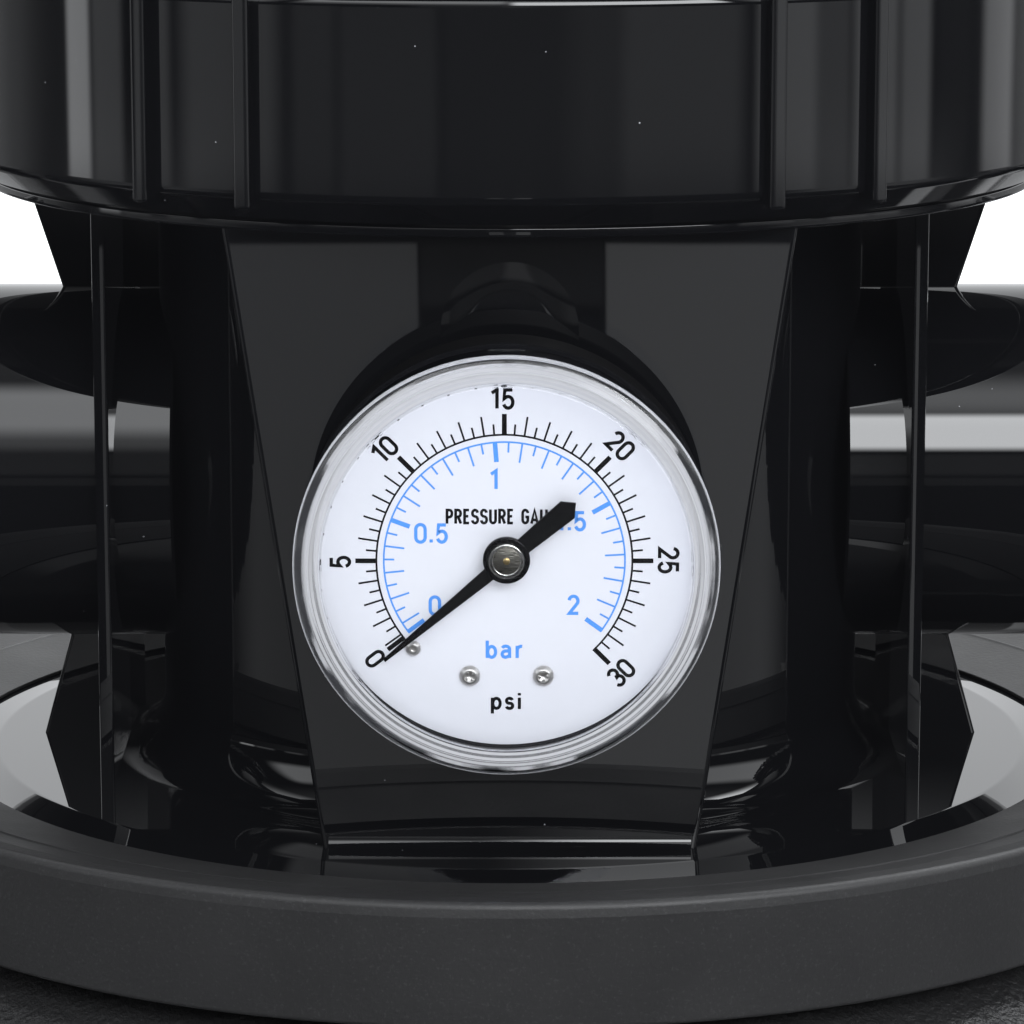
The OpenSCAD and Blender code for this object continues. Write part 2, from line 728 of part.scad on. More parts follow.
module pointer_spindle() {
    color("#9a9ca0") at_gauge(gauge_z) {
        translate([0, 0, 88.2]) cylinder(r = pointer_cap_r, h = 1.2);
        translate([0, 0, 77.6]) cylinder(r = 0.7, h = 11);
        translate([0, 0, 79.5]) rotate([0, 0, 90 + 180 / pinion_teeth])
            spur(pinion_teeth, gear_module, 2.4);
    }
}

module sector_gear() {
    pitch = gear_module * sector_teeth / 2;
    color("#b08d57") at_gauge(sector_z) difference() {
        union() {
            translate([0, 0, 80]) intersection() {
                rotate([0, 0, 90]) spur(sector_teeth, gear_module, 1.2);
                union() {
                    linear_extrude(height = 2)
                        polygon([[0, 0], for (a = [38 : 15.5 : 100]) 14 * [cos(a), sin(a)]]);
                    cylinder(r = 2.2, h = 2);
                }
            }
            translate([0, 0, 77.6]) cylinder(r = 0.7, h = 6);
            translate([-1.1, -tail_reach, 80]) cube([2.2, tail_reach, 1.2]);
            translate([0, -tail_reach, 80]) cylinder(r = 1.1, h = 1.2);
            translate([0, -tail_reach, 81]) cylinder(r = 0.4, h = 1.6);
        }
        rotate([0, 0, 69]) translate([pitch * 0.62, 0, 79]) cylinder(r = 1.2, h = 4);
    }
}

module bourdon_link() {
    color("#b08d57") at_gauge(sector_z - tail_reach) rotate([0, 0, 12]) difference() {
        union() {
            translate([0, -0.9, 81.4]) cube([link_l, 1.8, 0.6]);
            translate([0, 0, 81.4]) cylinder(r = 0.9, h = 0.6);
            translate([link_l, 0, 81.4]) cylinder(r = 0.9, h = 0.6);
        }
        translate([0, 0, 81]) cylinder(r = 0.45, h = 2);
        translate([link_l, 0, 81]) cylinder(r = 0.45, h = 2);
    }
}

module movement_frame() {
    color("#b08d57") at_gauge(gauge_z) difference() {
        union() {
            translate([-5, -12.4, 77.6]) cube([10, 15.4, 1]);
            translate([-6.2, -16.5, 83.2]) cube([12.4, 19.5, 1]);
            for (s = [-1, 1]) translate([s * 4, 2, 75]) cylinder(r = 0.9, h = 9);
            for (s = [-1, 1]) translate([s * 4, -11.4, 75]) cylinder(r = 0.9, h = 9);
        }
        translate([0, 0, 75]) cylinder(r = 0.7 + run_gap, h = 12);
        translate([0, -gear_gap, 75]) cylinder(r = 0.7 + run_gap, h = 12);
        for (s = [-1, 1]) translate([s * screw_at[0], screw_at[1], 80]) cylinder(r = 0.8, h = 6);
    }
}

module bourdon_tube() {
    color("#b08d57") at_gauge(gauge_z) {
        translate([0, 0, 78.2]) rotate([0, 0, -98 - 310]) rotate_extrude(angle = 310)
            translate([17.4, 0]) square([1.6, 6], center = true);
        translate([-4.3, -19, 75]) cube([5, 3.2, 4.7]);
        translate([0, -gear_gap - tail_reach, 0]) rotate([0, 0, 12]) translate([link_l, 0, 0]) {
            translate([-1, -1, 79.9]) cube([3.7, 2.7, 1]);
            translate([0, 0, 80]) cylinder(r = 0.4, h = 2.4);
        }
    }
}

module gauge_lens() {
    color([0.9, 0.95, 1, 0.35]) at_gauge(gauge_z) difference() {
        union() {
            translate([0, 0, 82.2]) cylinder(r = cap_r, h = 11.6);
            translate([0, 0, 93]) cylinder(r = cap_r - 0.9, h = 1.4);
            translate([0, 0, 94]) cylinder(r = 23.6, h = 1);
            for (a = [0, 90, 180]) rotate([0, 0, a])
                translate([cap_r - 1, -2.5, 84]) cube([1.6, 5, 7]);
        }
        translate([0, 0, 80]) cylinder(r = 26.45, h = 8.6);
        translate([0, 0, 80]) cylinder(r = 24.9, h = 12.6);
    }
}

module lens_seal() {
    color("#0c0c0d") at_gauge(gauge_z) ring(26.3, 24.95, 88, 88.6);
}

tank_shell();
tank_foot();
neck_seal();
clamp_front();
clamp_rear();
clamp_bolts();
clamp_nuts();
clamp_washers();
drain_spigot();
drain_gasket();
drain_locknut();
drain_screen();
drain_cap();
drain_cap_washer();
standpipe();
standpipe_seal();
lateral_hub();
laterals();
valve_body();
port_pipe(180);  // port_pipe_pump
port_pipe(0);  // port_pipe_return
port_pipe(90);  // port_pipe_waste
seat_gasket();
rotor();
rotor_shaft();
shaft_seals();
rotor_spring();
spring_washer();
valve_cover();
cover_seal();
lock_collar();
position_plate();
handle_washer();
handle();
handle_pin();
union_nut(180);  // union_nut_pump
hose_tail(180);  // hose_tail_pump
union_seal(180);  // union_seal_pump
union_nut(0);  // union_nut_return
hose_tail(0);  // hose_tail_return
union_seal(0);  // union_seal_return
union_nut(90);  // union_nut_waste
hose_tail(90);  // hose_tail_waste
union_seal(90);  // union_seal_waste
gauge_case();
gauge_stem();
gauge_seal();
gauge_dial();
dial_screws();
stop_pin();
pointer();
pointer_spindle();
gauge_lens();
lens_seal();
bourdon_tube();
bourdon_link();
movement_frame();
sector_gear();
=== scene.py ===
"""Sand filter tank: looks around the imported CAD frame. Lengths in the builders are millimetres,
measured from the valve seat: x to the right, y to the back, z up from the clamp ring's top face."""
import json
import math

import bmesh
import bpy
from mathutils import Matrix, Vector


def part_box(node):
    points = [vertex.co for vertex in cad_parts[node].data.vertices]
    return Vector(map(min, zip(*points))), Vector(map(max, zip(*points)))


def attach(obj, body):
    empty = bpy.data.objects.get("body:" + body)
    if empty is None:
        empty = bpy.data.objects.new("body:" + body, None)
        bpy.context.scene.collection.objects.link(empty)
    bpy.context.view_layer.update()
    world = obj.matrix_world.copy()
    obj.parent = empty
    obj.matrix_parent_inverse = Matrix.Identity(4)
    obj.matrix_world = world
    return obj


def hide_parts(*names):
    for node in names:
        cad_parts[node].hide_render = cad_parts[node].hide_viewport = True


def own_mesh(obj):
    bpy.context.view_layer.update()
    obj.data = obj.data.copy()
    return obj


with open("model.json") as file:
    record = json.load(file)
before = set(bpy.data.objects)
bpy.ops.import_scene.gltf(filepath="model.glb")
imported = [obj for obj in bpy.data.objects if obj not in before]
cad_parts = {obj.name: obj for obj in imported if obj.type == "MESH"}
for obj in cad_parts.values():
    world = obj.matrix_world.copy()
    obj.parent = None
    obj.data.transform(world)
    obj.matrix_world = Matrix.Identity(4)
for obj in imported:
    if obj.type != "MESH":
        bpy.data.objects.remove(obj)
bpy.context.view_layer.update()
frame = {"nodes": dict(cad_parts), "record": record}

MM = 0.001
cad = frame["nodes"]

# ---- driving dimensions, millimetres ----
GAUGE_H = 41.6            # gauge centre above the seat
GAUGE_X = -0.4            # the gauge sits a little left of the panel's middle
PORT_H = 38.7             # port axis above the seat
CORE_R = 51.5             # central cylinder of the valve body
RIM_R = 76.5              # rim under the lock collar
RIM_Z = 81.5
BOWL_R = 75.2
FLANGE_R = 95.8
FLANGE_TOP = -4.0
FLANGE_LOW = -9.0
FACE_Z = -2.8             # flat top of the valve flange, inside its sloping edge
FACE_R = 76.5
PANEL_Y = 66.0            # flat gauge panel in front of the axis
PIPE_R = 26.0
PIPE_BORE_R = 21.5
COLLAR_R = 81.8
COLLAR_LOW = 83.3
COLLAR_TOP = 113.5
CLAMP_R = 102.5
CLAMP_LOW = -17.6
CAP_R = 27.25             # clear cap of the gauge
CAP_STEP_R = 23.6         # edge of the cap's raised face
CAP_SHOULDER = 92.5       # where the cap's skirt ends and its shoulder begins, in front of the axis
PRINT = (86.99, 87.015)   # back and front of the dial's print, in front of the axis
PRINT_SHIFT = (-0.28, -0.42)
PLATE_TOP = 118.0         # position plate
PLATE_PRINT = (PLATE_TOP - 0.01, PLATE_TOP + 0.03)
PIN_H = 145.0             # handle pin above the seat
DRAIN_H = -350.0          # drain axis
PORTS = (("pump", 180), ("return", 0), ("waste", 90))     # direction from +X, degrees
SEGMENTS = 288            # steps round a turned shape

gauge_low, gauge_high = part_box("gauge_seal")
SEAT = (gauge_low.z + gauge_high.z) / 2 - GAUGE_H * MM


def spin(angle, axis="Z"):
    """Turn about an axis, degrees."""
    return Matrix.Rotation(math.radians(angle), 4, axis)


TO_WORLD = Matrix.Translation((0, 0, SEAT)) @ Matrix.Scale(MM, 4)
TO_FRONT = spin(90, "X")        # local z towards the front
ALONG_X = Matrix(((0, 0, 1, 0), (1, 0, 0, 0), (0, 1, 0, 0), (0, 0, 0, 1)))   # outline in Y and Z


def front_at(z):
    """Local z runs to the front from the valve axis at height z; local y is up."""
    return Matrix.Translation((0, 0, z)) @ TO_FRONT


def gauge_frame():
    """The gauge's own axis, local z towards the front."""
    return Matrix.Translation((GAUGE_X, 0, GAUGE_H)) @ TO_FRONT


def port_at(angle):
    """Local z runs out along a port whose direction is an angle from +X."""
    turn = spin(angle) @ spin(90, "Y")
    return Matrix.Translation((0, 0, PORT_H)) @ turn


# ---- camera and stage ----

def make_camera():
    """Long lens, a little above the valve, level with the gauge's left and right."""
    data = bpy.data.cameras.new("camera")
    data.lens = 4300 / 1024 * 36
    data.sensor_width = 36
    data.clip_end = 100
    camera = bpy.data.objects.new("camera", data)
    bpy.context.scene.collection.objects.link(camera)
    camera.location = (0.3 * MM, -628.25 * MM, SEAT + 152.83 * MM)
    camera.rotation_euler = (math.radians(90 - 11.005), 0, 0)
    bpy.context.scene.camera = camera


class Graph:
    """Small wrapper that adds shader nodes and links them."""

    def __init__(self, tree):
        self.tree = tree
        tree.nodes.clear()

    def add(self, kind, settings=None, **inputs):
        node = self.tree.nodes.new("ShaderNode" + kind)
        for key, value in (settings or {}).items():
            setattr(node, key, value)
        for key, value in inputs.items():
            self.put(node, key, value)
        return node

    def put(self, node, key, value):
        if key.startswith("in") and key[2:].isdigit():
            socket = node.inputs[int(key[2:])]
        else:
            socket = node.inputs[key.replace("_", " ")]
        if isinstance(value, bpy.types.NodeSocket):
            self.tree.links.new(value, socket)
        else:
            socket.default_value = value

    def math(self, operation, a, b=0.0, c=0.0, clamp=False):
        node = self.add("Math", {"operation": operation, "use_clamp": clamp}, in0=a, in1=b, in2=c)
        return node.outputs[0]

    def smooth(self, value, low, high):
        """Smooth step from 0 at low to 1 at high."""
        node = self.add("MapRange", {"interpolation_type": "SMOOTHSTEP"}, Value=value,
                        From_Min=low, From_Max=high)
        return node.outputs[0]

    def between(self, value, low, high, soft):
        """1 inside low..high, falling to 0 over soft on each side."""
        up = self.smooth(value, low - soft, low + soft)
        down = self.smooth(value, high + soft, high - soft)
        return self.math("MULTIPLY", up, down)

    def mix(self, factor, a, b):
        node = self.add("Mix", {"data_type": "RGBA"}, in0=factor, in6=a, in7=b)
        return node.outputs[2]

    def noise(self, vector, scale, detail=2.0, roughness=0.5):
        node = self.add("TexNoise", Scale=scale, Detail=detail, Roughness=roughness, Vector=vector)
        return node.outputs["Fac"]


# light bands that the lock collar mirrors: strength, then left, right and soft edge in degrees
COLLAR_BANDS = (
    (0.05, -116, -98, 2.0), (2.40, -97.5, -91, 1.0), (0.55, -90, -82, 1.2), (0.55, -77, -70, 1.5),
    (0.50, -67, -46, 3.0), (0.22, -43, -34, 2.0), (0.10, -13, 12, 2.0), (0.20, 12, 22, 3.0),
    (0.38, 22, 46, 2.5), (0.95, 49, 62, 1.5), (0.45, 62, 70, 1.5), (0.95, 71, 82, 1.5),
    (0.85, 83, 91, 1.5), (0.05, 93, 103, 2.0), (0.95, 108, 119, 2.0),
)


def make_world():
    """A studio by direction: softboxes above the camera, a dark gap in front, white sides and back."""
    world = bpy.data.worlds.new("studio")
    world.use_nodes = True
    bpy.context.scene.world = world
    g = Graph(world.node_tree)
    direction = g.add("TexCoord").outputs["Generated"]
    axes = g.add("SeparateXYZ", Vector=direction).outputs
    flat = g.math("SQRT", g.math("ADD", g.math("MULTIPLY", axes[0], axes[0]),
                                 g.math("MULTIPLY", axes[1], axes[1])))
    degrees = 180 / math.pi
    side = g.math("MULTIPLY", g.math("ARCTAN2", axes[0], g.math("MULTIPLY", axes[1], -1.0)), degrees)
    up = g.math("MULTIPLY", g.math("ARCTAN2", axes[2], flat), degrees)
    away = g.math("ABSOLUTE", side)

    def patch(strength, left, right, low, high, soft_side, soft_up):
        shape = g.math("MULTIPLY", g.between(side, left, right, soft_side),
                       g.between(up, low, high, soft_up))
        return g.math("MULTIPLY", shape, strength)

    board = (-17, -7.36)           # heights of the boards that the gauge panel mirrors, degrees
    foot = (-17, -12.0)            # their lower parts
    band = (-6.9, -2)              # heights that the lock collar mirrors
    wall = (-30, -6.9)             # heights that the central cylinder mirrors
    above = g.smooth(up, -3.0, 2.0)
    room = g.math("MULTIPLY", g.smooth(away, 100, 130), g.math("MULTIPLY_ADD", above, 0.85, 0.42))
    ceiling = g.math("MULTIPLY", g.smooth(up, 42, 66), 0.3)
    lights = [
        g.math("MAXIMUM", room, ceiling),
        patch(12.0, 0.6, 44, 16.5, 38, 1.2, 2.5),           # softbox right of the camera, above
        patch(2.0, 0.6, 44, 38, 60, 1.2, 10.0),
        patch(3.6, -44, -0.6, 27, 56, 2.0, 6.0),            # weaker softbox left of the camera
        patch(0.9, -44, -0.6, 16, 27, 2.0, 5.0),
        patch(1.9, 50, 102, 16, 40, 4.0, 4.0),              # side lights that the fillets and lips mirror
        patch(1.9, -84, -50, 16, 40, 4.0, 4.0),
        patch(7.5, 112, 160, 32, 62, 8.0, 6.0),             # lights behind, for the tank's shoulders
        patch(0.8, -160, -112, 32, 62, 8.0, 6.0),
        patch(0.16, -18, 18, 0.0, 13.0, 3.0, 2.0),          # soft front light that the low boss mirrors
        patch(0.22, -1.0, 4.5, -1.0, 13.0, 1.2, 3.0),
        patch(0.80, 1.30, 4.3, *board, 0.03, 0.04),         # white boards that the gauge panel mirrors
        patch(0.80, 0.52, 1.30, *foot, 0.03, 0.3),
        patch(0.52, -4.3, -1.3, *board, 0.03, 0.04),
        patch(0.52, -1.30, -0.99, *foot, 0.03, 0.3),
        patch(0.50, -0.51, -0.43, *foot, 0.02, 0.3),
        patch(0.50, 0.24, 0.44, *foot, 0.03, 0.3),
        patch(0.08, -1.25, 1.25, -8.2, -7.36, 0.05, 0.1),
        patch(0.45, 60, 97, *wall, 9.0, 2.0),               # sides seen by the central cylinder
        patch(0.30, -97, -60, *wall, 9.0, 2.0),
        patch(0.20, -33, -14, -6.9, -3.6, 1.5, 0.4),
    ]
    for strength, left, right, soft in COLLAR_BANDS:
        lights.append(patch(strength, left, right, *band, soft, 0.8))
    total = lights[0]
    for light in lights[1:]:
        total = g.math("ADD", total, light)
    seen = g.add("LightPath").outputs["Is Camera Ray"]
    total = g.math("ADD", total, 0.012)
    backdrop = 1.05
    strength = g.add("Mix", {"data_type": "FLOAT"}, in0=seen, in2=total, in3=backdrop).outputs[0]
    tint = g.mix(seen, (0.955, 0.975, 1.0, 1), (1, 1, 1, 1))
    back = g.add("Background", Color=tint, Strength=strength)
    out = g.add("OutputWorld")
    g.tree.links.new(back.outputs[0], out.inputs[0])


def make_floor():
    """Pale floor, hidden from mirror-like reflections so that the studio alone shapes the gloss."""
    mesh = bpy.data.meshes.new("floor")
    bm = bmesh.new()
    bmesh.ops.create_circle(bm, cap_ends=True, radius=14, segments=64)
    bm.to_mesh(mesh)
    bm.free()
    floor = bpy.data.objects.new("floor", mesh)
    bpy.context.scene.collection.objects.link(floor)
    floor.visible_glossy = False
    material = bpy.data.materials.new("floor_white")
    material.use_nodes = True
    g = Graph(material.node_tree)
    spots = g.noise(g.add("TexCoord").outputs["Object"], 3.0)
    colour = g.mix(spots, (0.93, 0.93, 0.93, 1), (0.95, 0.95, 0.955, 1))
    surface = g.add("BsdfDiffuse", Color=colour)
    glow = g.add("Emission", Color=(1, 1, 1, 1), Strength=0.12)
    both = g.add("AddShader", in0=surface.outputs[0], in1=glow.outputs[0])
    g.tree.links.new(both.outputs[0], g.add("OutputMaterial").inputs[0])
    mesh.materials.append(material)


# ---- materials ----

def new_material(name):
    material = bpy.data.materials.new(name)
    material.use_nodes = True
    return material, Graph(material.node_tree)


def finish_material(g, shader):
    g.tree.links.new(shader, g.add("OutputMaterial").inputs[0])


def plastic(name, colour, rough, ripple=0.0, dust=0.0, painted_glow=0.0, fleck=0.0, grain=None, shine=0.5):
    """Moulded plastic: slow ripple in the gloss, fine grain, pale dust, tiny flecks and, as painted light, a
    faint bluish glow that lifts deep shade. Grain is its scale, strength and depth."""
    material, g = new_material(name)
    where = g.add("TexCoord").outputs["Object"]
    tone = g.noise(where, 35.0, 3.0)
    dark = tuple(c * 0.85 for c in colour) + (1,)
    light = tuple(c * 1.2 for c in colour) + (1,)
    base = g.mix(tone, dark, light)
    if fleck:
        spots = g.smooth(g.noise(where, 2600.0, 1.0), 0.60, 0.74)
        pale = tuple(min(1.0, c * 3.2 + 0.02) for c in colour) + (1,)
        base = g.mix(g.math("MULTIPLY", spots, fleck), base, pale)
    roughness = g.math("MULTIPLY_ADD", g.noise(where, 60.0, 4.0), rough * 0.5, rough * 0.75)
    if dust:
        cells = g.add("TexVoronoi", {"feature": "F1"}, Vector=where, Scale=420.0)
        speck = g.smooth(cells.outputs["Distance"], 0.055, 0.03)
        rare = g.smooth(g.add("SeparateXYZ", Vector=cells.outputs["Color"]).outputs[0], 0.90, 0.93)
        speck = g.math("MULTIPLY", g.math("MULTIPLY", speck, rare), dust)
        base = g.mix(speck, base, (0.32, 0.33, 0.35, 1))
        roughness = g.math("MULTIPLY_ADD", speck, 0.4, roughness)
    shader = g.add("BsdfPrincipled", Base_Color=base, Roughness=roughness, Specular_IOR_Level=shine)
    # Painted light: a faint bluish emission lifts the deep shade of the dark plastic.
    if painted_glow:
        g.put(shader, "Emission Color", (0.93, 0.96, 1.1, 1))
        g.put(shader, "Emission Strength", painted_glow)
    normal = None
    if ripple:
        slow = g.noise(where, 28.0, 1.0)
        bump = g.add("Bump", Strength=ripple, Distance=0.001, Height=slow)
        normal = bump.outputs[0]
    if grain:
        scale, strength, depth = grain
        height = g.noise(where, scale, 3.0, 0.6)
        bump = g.add("Bump", Strength=strength, Distance=depth, Height=height)
        if normal:
            g.put(bump, "Normal", normal)
        normal = bump.outputs[0]
    if normal:
        g.put(shader, "Normal", normal)
    finish_material(g, shader.outputs[0])
    return material


def metal(name, colour, rough, brush=0.0):
    """Bare metal with a brushed or tumbled grain."""
    material, g = new_material(name)
    where = g.add("TexCoord").outputs["Object"]
    stretch = g.add("Mapping", Vector=where, Scale=(1, 1, 9))
    lines = g.noise(stretch.outputs[0], 900.0, 3.0)
    base = g.mix(lines, tuple(c * 0.8 for c in colour) + (1,), tuple(colour) + (1,))
    roughness = g.math("MULTIPLY_ADD", lines, rough * 0.7, rough * 0.65)
    shader = g.add("BsdfPrincipled", Base_Color=base, Roughness=roughness, Metallic=1.0)
    bump = g.add("Bump", Strength=brush, Distance=0.0001, Height=lines)
    g.put(shader, "Normal", bump.outputs[0])
    finish_material(g, shader.outputs[0])
    return material


def paint(name, colour, rough=0.45, mottle=0.02, shine=0.5, glow=0.0):
    """Printed or painted face with a faint mottle. Glow lifts a white face that a clear cap shades."""
    material, g = new_material(name)
    where = g.add("TexCoord").outputs["Object"]
    tone = g.noise(where, 260.0, 3.0)
    dark = tuple(max(0.0, c - mottle) for c in colour) + (1,)
    base = g.mix(tone, dark, tuple(colour) + (1,))
    shader = g.add("BsdfPrincipled", Base_Color=base, Roughness=rough, Specular_IOR_Level=shine)
    if glow:
        g.put(shader, "Emission Color", base)
        g.put(shader, "Emission Strength", glow)
    finish_material(g, shader.outputs[0])
    return material


def cap_haze(g, radius, up, where):
    """Painted highlights that make the cap's stepped shoulder look pale, by radius in mm from the gauge's
    axis.
    """
    rings = g.math("SINE", g.math("MULTIPLY", radius, 8.4))
    rings = g.math("SUBTRACT", g.math("MULTIPLY", g.smooth(rings, -0.5, 0.5), 2.0), 1.0)
    below = g.math("MULTIPLY_ADD", g.smooth(up, 5 * MM, -15 * MM), 0.42, 0.08)
    level = g.math("MULTIPLY_ADD", g.math("MULTIPLY", rings, below), 0.8, 0.72)
    shoulder = g.math("MULTIPLY", g.between(radius, 23.9, 26.05, 0.12), level)
    line = g.math("MULTIPLY", g.between(radius, 25.15, 25.3, 0.06), 0.5)
    broken = g.smooth(g.noise(where, 95.0, 2.0, 0.6), 0.47, 0.60)
    streaks = g.math("MULTIPLY", g.math("MULTIPLY", g.between(radius, 26.0, 26.5, 0.12), broken), 0.9)
    edge = g.math("MULTIPLY", g.smooth(radius, CAP_R - 0.4, CAP_R - 0.15), 0.6)
    return g.math("ADD", g.math("ADD", shoulder, line), g.math("ADD", streaks, edge), clamp=True)


def clear_plastic(name):
    """Clear moulded cap. Its face and skirt are thin and plain. On the solid stepped shoulder, a painted glow
    and painted highlights stand in for the light that it gathers, so it looks pale. Shadow rays pass through,
    so that the dial is lit."""
    material, g = new_material(name)
    where = g.add("TexCoord").outputs["Object"]
    axes = g.add("SeparateXYZ", Vector=where).outputs
    across = g.math("SUBTRACT", axes[0], GAUGE_X * MM)
    up = g.math("SUBTRACT", axes[2], SEAT + GAUGE_H * MM)
    radius = g.math("MULTIPLY", g.math("SQRT", g.math("ADD", g.math("MULTIPLY", across, across),
                                                      g.math("MULTIPLY", up, up))), 1 / MM)
    forward = g.math("MULTIPLY", axes[1], -1 / MM)
    bump = g.add("Bump", Strength=0.015, Distance=0.0005, Height=g.noise(where, 120.0, 2.0))
    rough = g.math("MULTIPLY_ADD", g.noise(where, 500.0, 3.0), 0.03, 0.0)
    glass = g.add("BsdfPrincipled", Base_Color=(0.985, 0.99, 1, 1), Roughness=rough, IOR=1.49,
                  Transmission_Weight=1.0, Normal=bump.outputs[0])
    tint = (0.965, 0.97, 0.98, 1)
    clear = g.add("BsdfTransparent", Color=tint)
    sheen = g.add("BsdfAnisotropic", Color=(1, 1, 1, 1), Roughness=0.15)
    thin = g.add("MixShader", in0=0.012, in1=clear.outputs[0], in2=sheen.outputs[0])
    # Painted light: a pale diffuse and a white emission, mixed in on the shoulder, paint the glow of the
    # light that the solid rim gathers.
    pale = g.add("BsdfDiffuse", Color=(0.32, 0.325, 0.345, 1))
    white = g.add("Emission", Color=(0.96, 0.97, 1, 1), Strength=0.5)
    painted_shoulder_glow = g.add("MixShader", in0=0.30, in1=pale.outputs[0], in2=white.outputs[0])
    paths = g.add("LightPath").outputs
    direct = g.math("SUBTRACT", 1.0, paths["Is Glossy Ray"])
    front = g.smooth(forward, CAP_SHOULDER, CAP_SHOULDER + 0.5)
    outside = g.smooth(radius, CAP_STEP_R - 0.3, CAP_STEP_R)
    solid = g.math("MULTIPLY", g.math("MULTIPLY", front, outside), direct)
    shell = g.add("MixShader", in0=solid, in1=thin.outputs[0], in2=glass.outputs[0])
    # Painted highlights: pale bands, a thin bright line, broken streaks and a bright edge on the shoulder,
    # with more contrast below the axis.
    shoulder_highlight_mask = g.math("MULTIPLY", g.math("MULTIPLY", cap_haze(g, radius, up, where), front), direct)
    body = g.add("MixShader", in0=shoulder_highlight_mask, in1=shell.outputs[0], in2=painted_shoulder_glow.outputs[0])
    # Painted shade: a thin dark line on the clear cap just outside its face's step, for the dark look of that
    # edge.
    step_shade_line = g.math("MULTIPLY", g.between(radius, CAP_STEP_R + 0.02, CAP_STEP_R + 0.2, 0.08), 0.25)
    dark = g.add("BsdfDiffuse", Color=(0.02, 0.02, 0.025, 1))
    body = g.add("MixShader", in0=step_shade_line, in1=body.outputs[0], in2=dark.outputs[0])
    shade = g.mix(g.smooth(radius, 23.4, 24.4), tint, (0.78, 0.79, 0.83, 1))
    through = g.add("BsdfTransparent", Color=shade)
    mixed = g.add("MixShader", in0=paths["Is Shadow Ray"], in1=body.outputs[0], in2=through.outputs[0])
    finish_material(g, mixed.outputs[0])
    return material


GLOSS_BLACK = (0.0024, 0.0025, 0.0030)
MATERIALS = {
    "gloss_black": plastic("gloss_black", GLOSS_BLACK, 0.05, ripple=0.05, dust=0.8, painted_glow=0.0028),
    "gloss_body": plastic("gloss_body", GLOSS_BLACK, 0.010, ripple=0.005, dust=0.6, painted_glow=0.0028),
    "case_black": plastic("case_black", (0.008, 0.008, 0.0088), 0.5, dust=0.6, grain=(1800.0, 0.1, 0.0001),
                          shine=0.01),
    "clamp_plastic": plastic("clamp_plastic", (0.0125, 0.0125, 0.0133), 0.55, fleck=0.2,
                             grain=(1500.0, 0.25, 0.0002)),
    "tank_plastic": plastic("tank_plastic", (0.013, 0.013, 0.0135), 0.34, fleck=0.2,
                            grain=(700.0, 0.9, 0.0005)),
    "grey_plastic": plastic("grey_plastic", (0.55, 0.56, 0.57), 0.4, grain=(400.0, 0.1, 0.0002)),
    "seal_rubber": plastic("seal_rubber", (0.018, 0.018, 0.018), 0.6, grain=(900.0, 0.2, 0.0002)),
    "white_seal": plastic("white_seal", (0.80, 0.80, 0.78), 0.35, grain=(500.0, 0.1, 0.0001)),
    "steel": metal("steel", (0.62, 0.61, 0.59), 0.24, 0.15),
    "steel_bright": metal("steel_bright", (0.82, 0.80, 0.76), 0.2, 0.05),
    "steel_dark": metal("steel_dark", (0.24, 0.23, 0.20), 0.3, 0.5),
    "nickel": metal("nickel", (0.74, 0.72, 0.69), 0.36, 0.2),
    "brass": metal("brass", (0.78, 0.58, 0.28), 0.3, 0.1),
    "dial_white": paint("dial_white", (0.445, 0.450, 0.478), 0.5, 0.005, 0.3, 0.31),
    "dial_black": paint("dial_black", (0.002, 0.002, 0.0025), 0.3, 0.001, 0.2),
    "dial_blue": paint("dial_blue", (0.06, 0.22, 0.60), 0.45, 0.01, 0.3),
    "pointer_black": plastic("pointer_black", (0.002, 0.002, 0.0025), 0.2, shine=0.15),
    "plate_silver": paint("plate_silver", (0.50, 0.51, 0.53), 0.35, 0.03),
    "clear_plastic": clear_plastic("clear_plastic"),
}


def dress_cad():
    """Every CAD node gets the material of its slot."""
    special = {"valve_body": "gloss_body", "pointer": "pointer_black"}
    for row in frame["record"]["subparts"]:
        name = row["node"]
        material = MATERIALS[special.get(name, row["material_slot"])]
        mesh = cad[name].data
        mesh.materials.clear()
        mesh.materials.append(material)


# ---- mesh builders ----

def fillet(points, steps=6):
    """Closed outline from (a, b) or (a, b, radius) corners; a radius rounds its corner."""
    outline = []
    for i, point in enumerate(points):
        here = Vector(point[:2])
        radius = point[2] if len(point) > 2 else 0.0
        if radius <= 0:
            outline.append(here)
            continue
        before = Vector(points[i - 1][:2]) - here
        after = Vector(points[(i + 1) % len(points)][:2]) - here
        half = before.angle(after) / 2
        reach = min(radius / math.tan(half), 0.49 * before.length, 0.49 * after.length)
        radius = reach * math.tan(half)
        centre = here + (before.normalized() + after.normalized()).normalized() * (radius / math.sin(half))
        start = here + before.normalized() * reach - centre
        end = here + after.normalized() * reach - centre
        first = math.atan2(start.y, start.x)
        sweep = (math.atan2(end.y, end.x) - first + math.pi) % (2 * math.pi) - math.pi
        for k in range(steps + 1):
            angle = first + sweep * k / steps
            outline.append(centre + radius * Vector((math.cos(angle), math.sin(angle))))
    return outline


def ridges(first, count, pitch, *tooth):
    """Thread or barb outline: repeats a tooth of (radius, offset) points from height first."""
    return [(radius, first + k * pitch + offset) for k in range(count) for radius, offset in tooth]


def lathe(outline, segments=SEGMENTS, start=0.0, sweep=360.0):
    """Turns a closed outline of (radius, height) about Z, fully or from start over sweep degrees."""
    bm = bmesh.new()
    whole = sweep >= 360.0
    count = segments if whole else segments + 1
    columns = []
    for radius, height in outline:
        if radius < 1e-6:
            columns.append([bm.verts.new((0, 0, height))] * count)
            continue
        ring = []
        for k in range(count):
            angle = math.radians(start + sweep * k / segments)
            ring.append(bm.verts.new((radius * math.cos(angle), radius * math.sin(angle), height)))
        columns.append(ring)
    for a, b in zip(columns, columns[1:] + columns[:1]):
        if a[0] is a[1] and b[0] is b[1]:
            continue
        for k in range(segments):
            n = (k + 1) % count
            corners = []
            for v in (a[k], a[n], b[n], b[k]):
                if v not in corners:
                    corners.append(v)
            bm.faces.new(corners)
    if not whole:
        bm.faces.new([column[0] for column in columns])
        bm.faces.new([column[-1] for column in reversed(columns)])
    bmesh.ops.recalc_face_normals(bm, faces=bm.faces)
    return bm


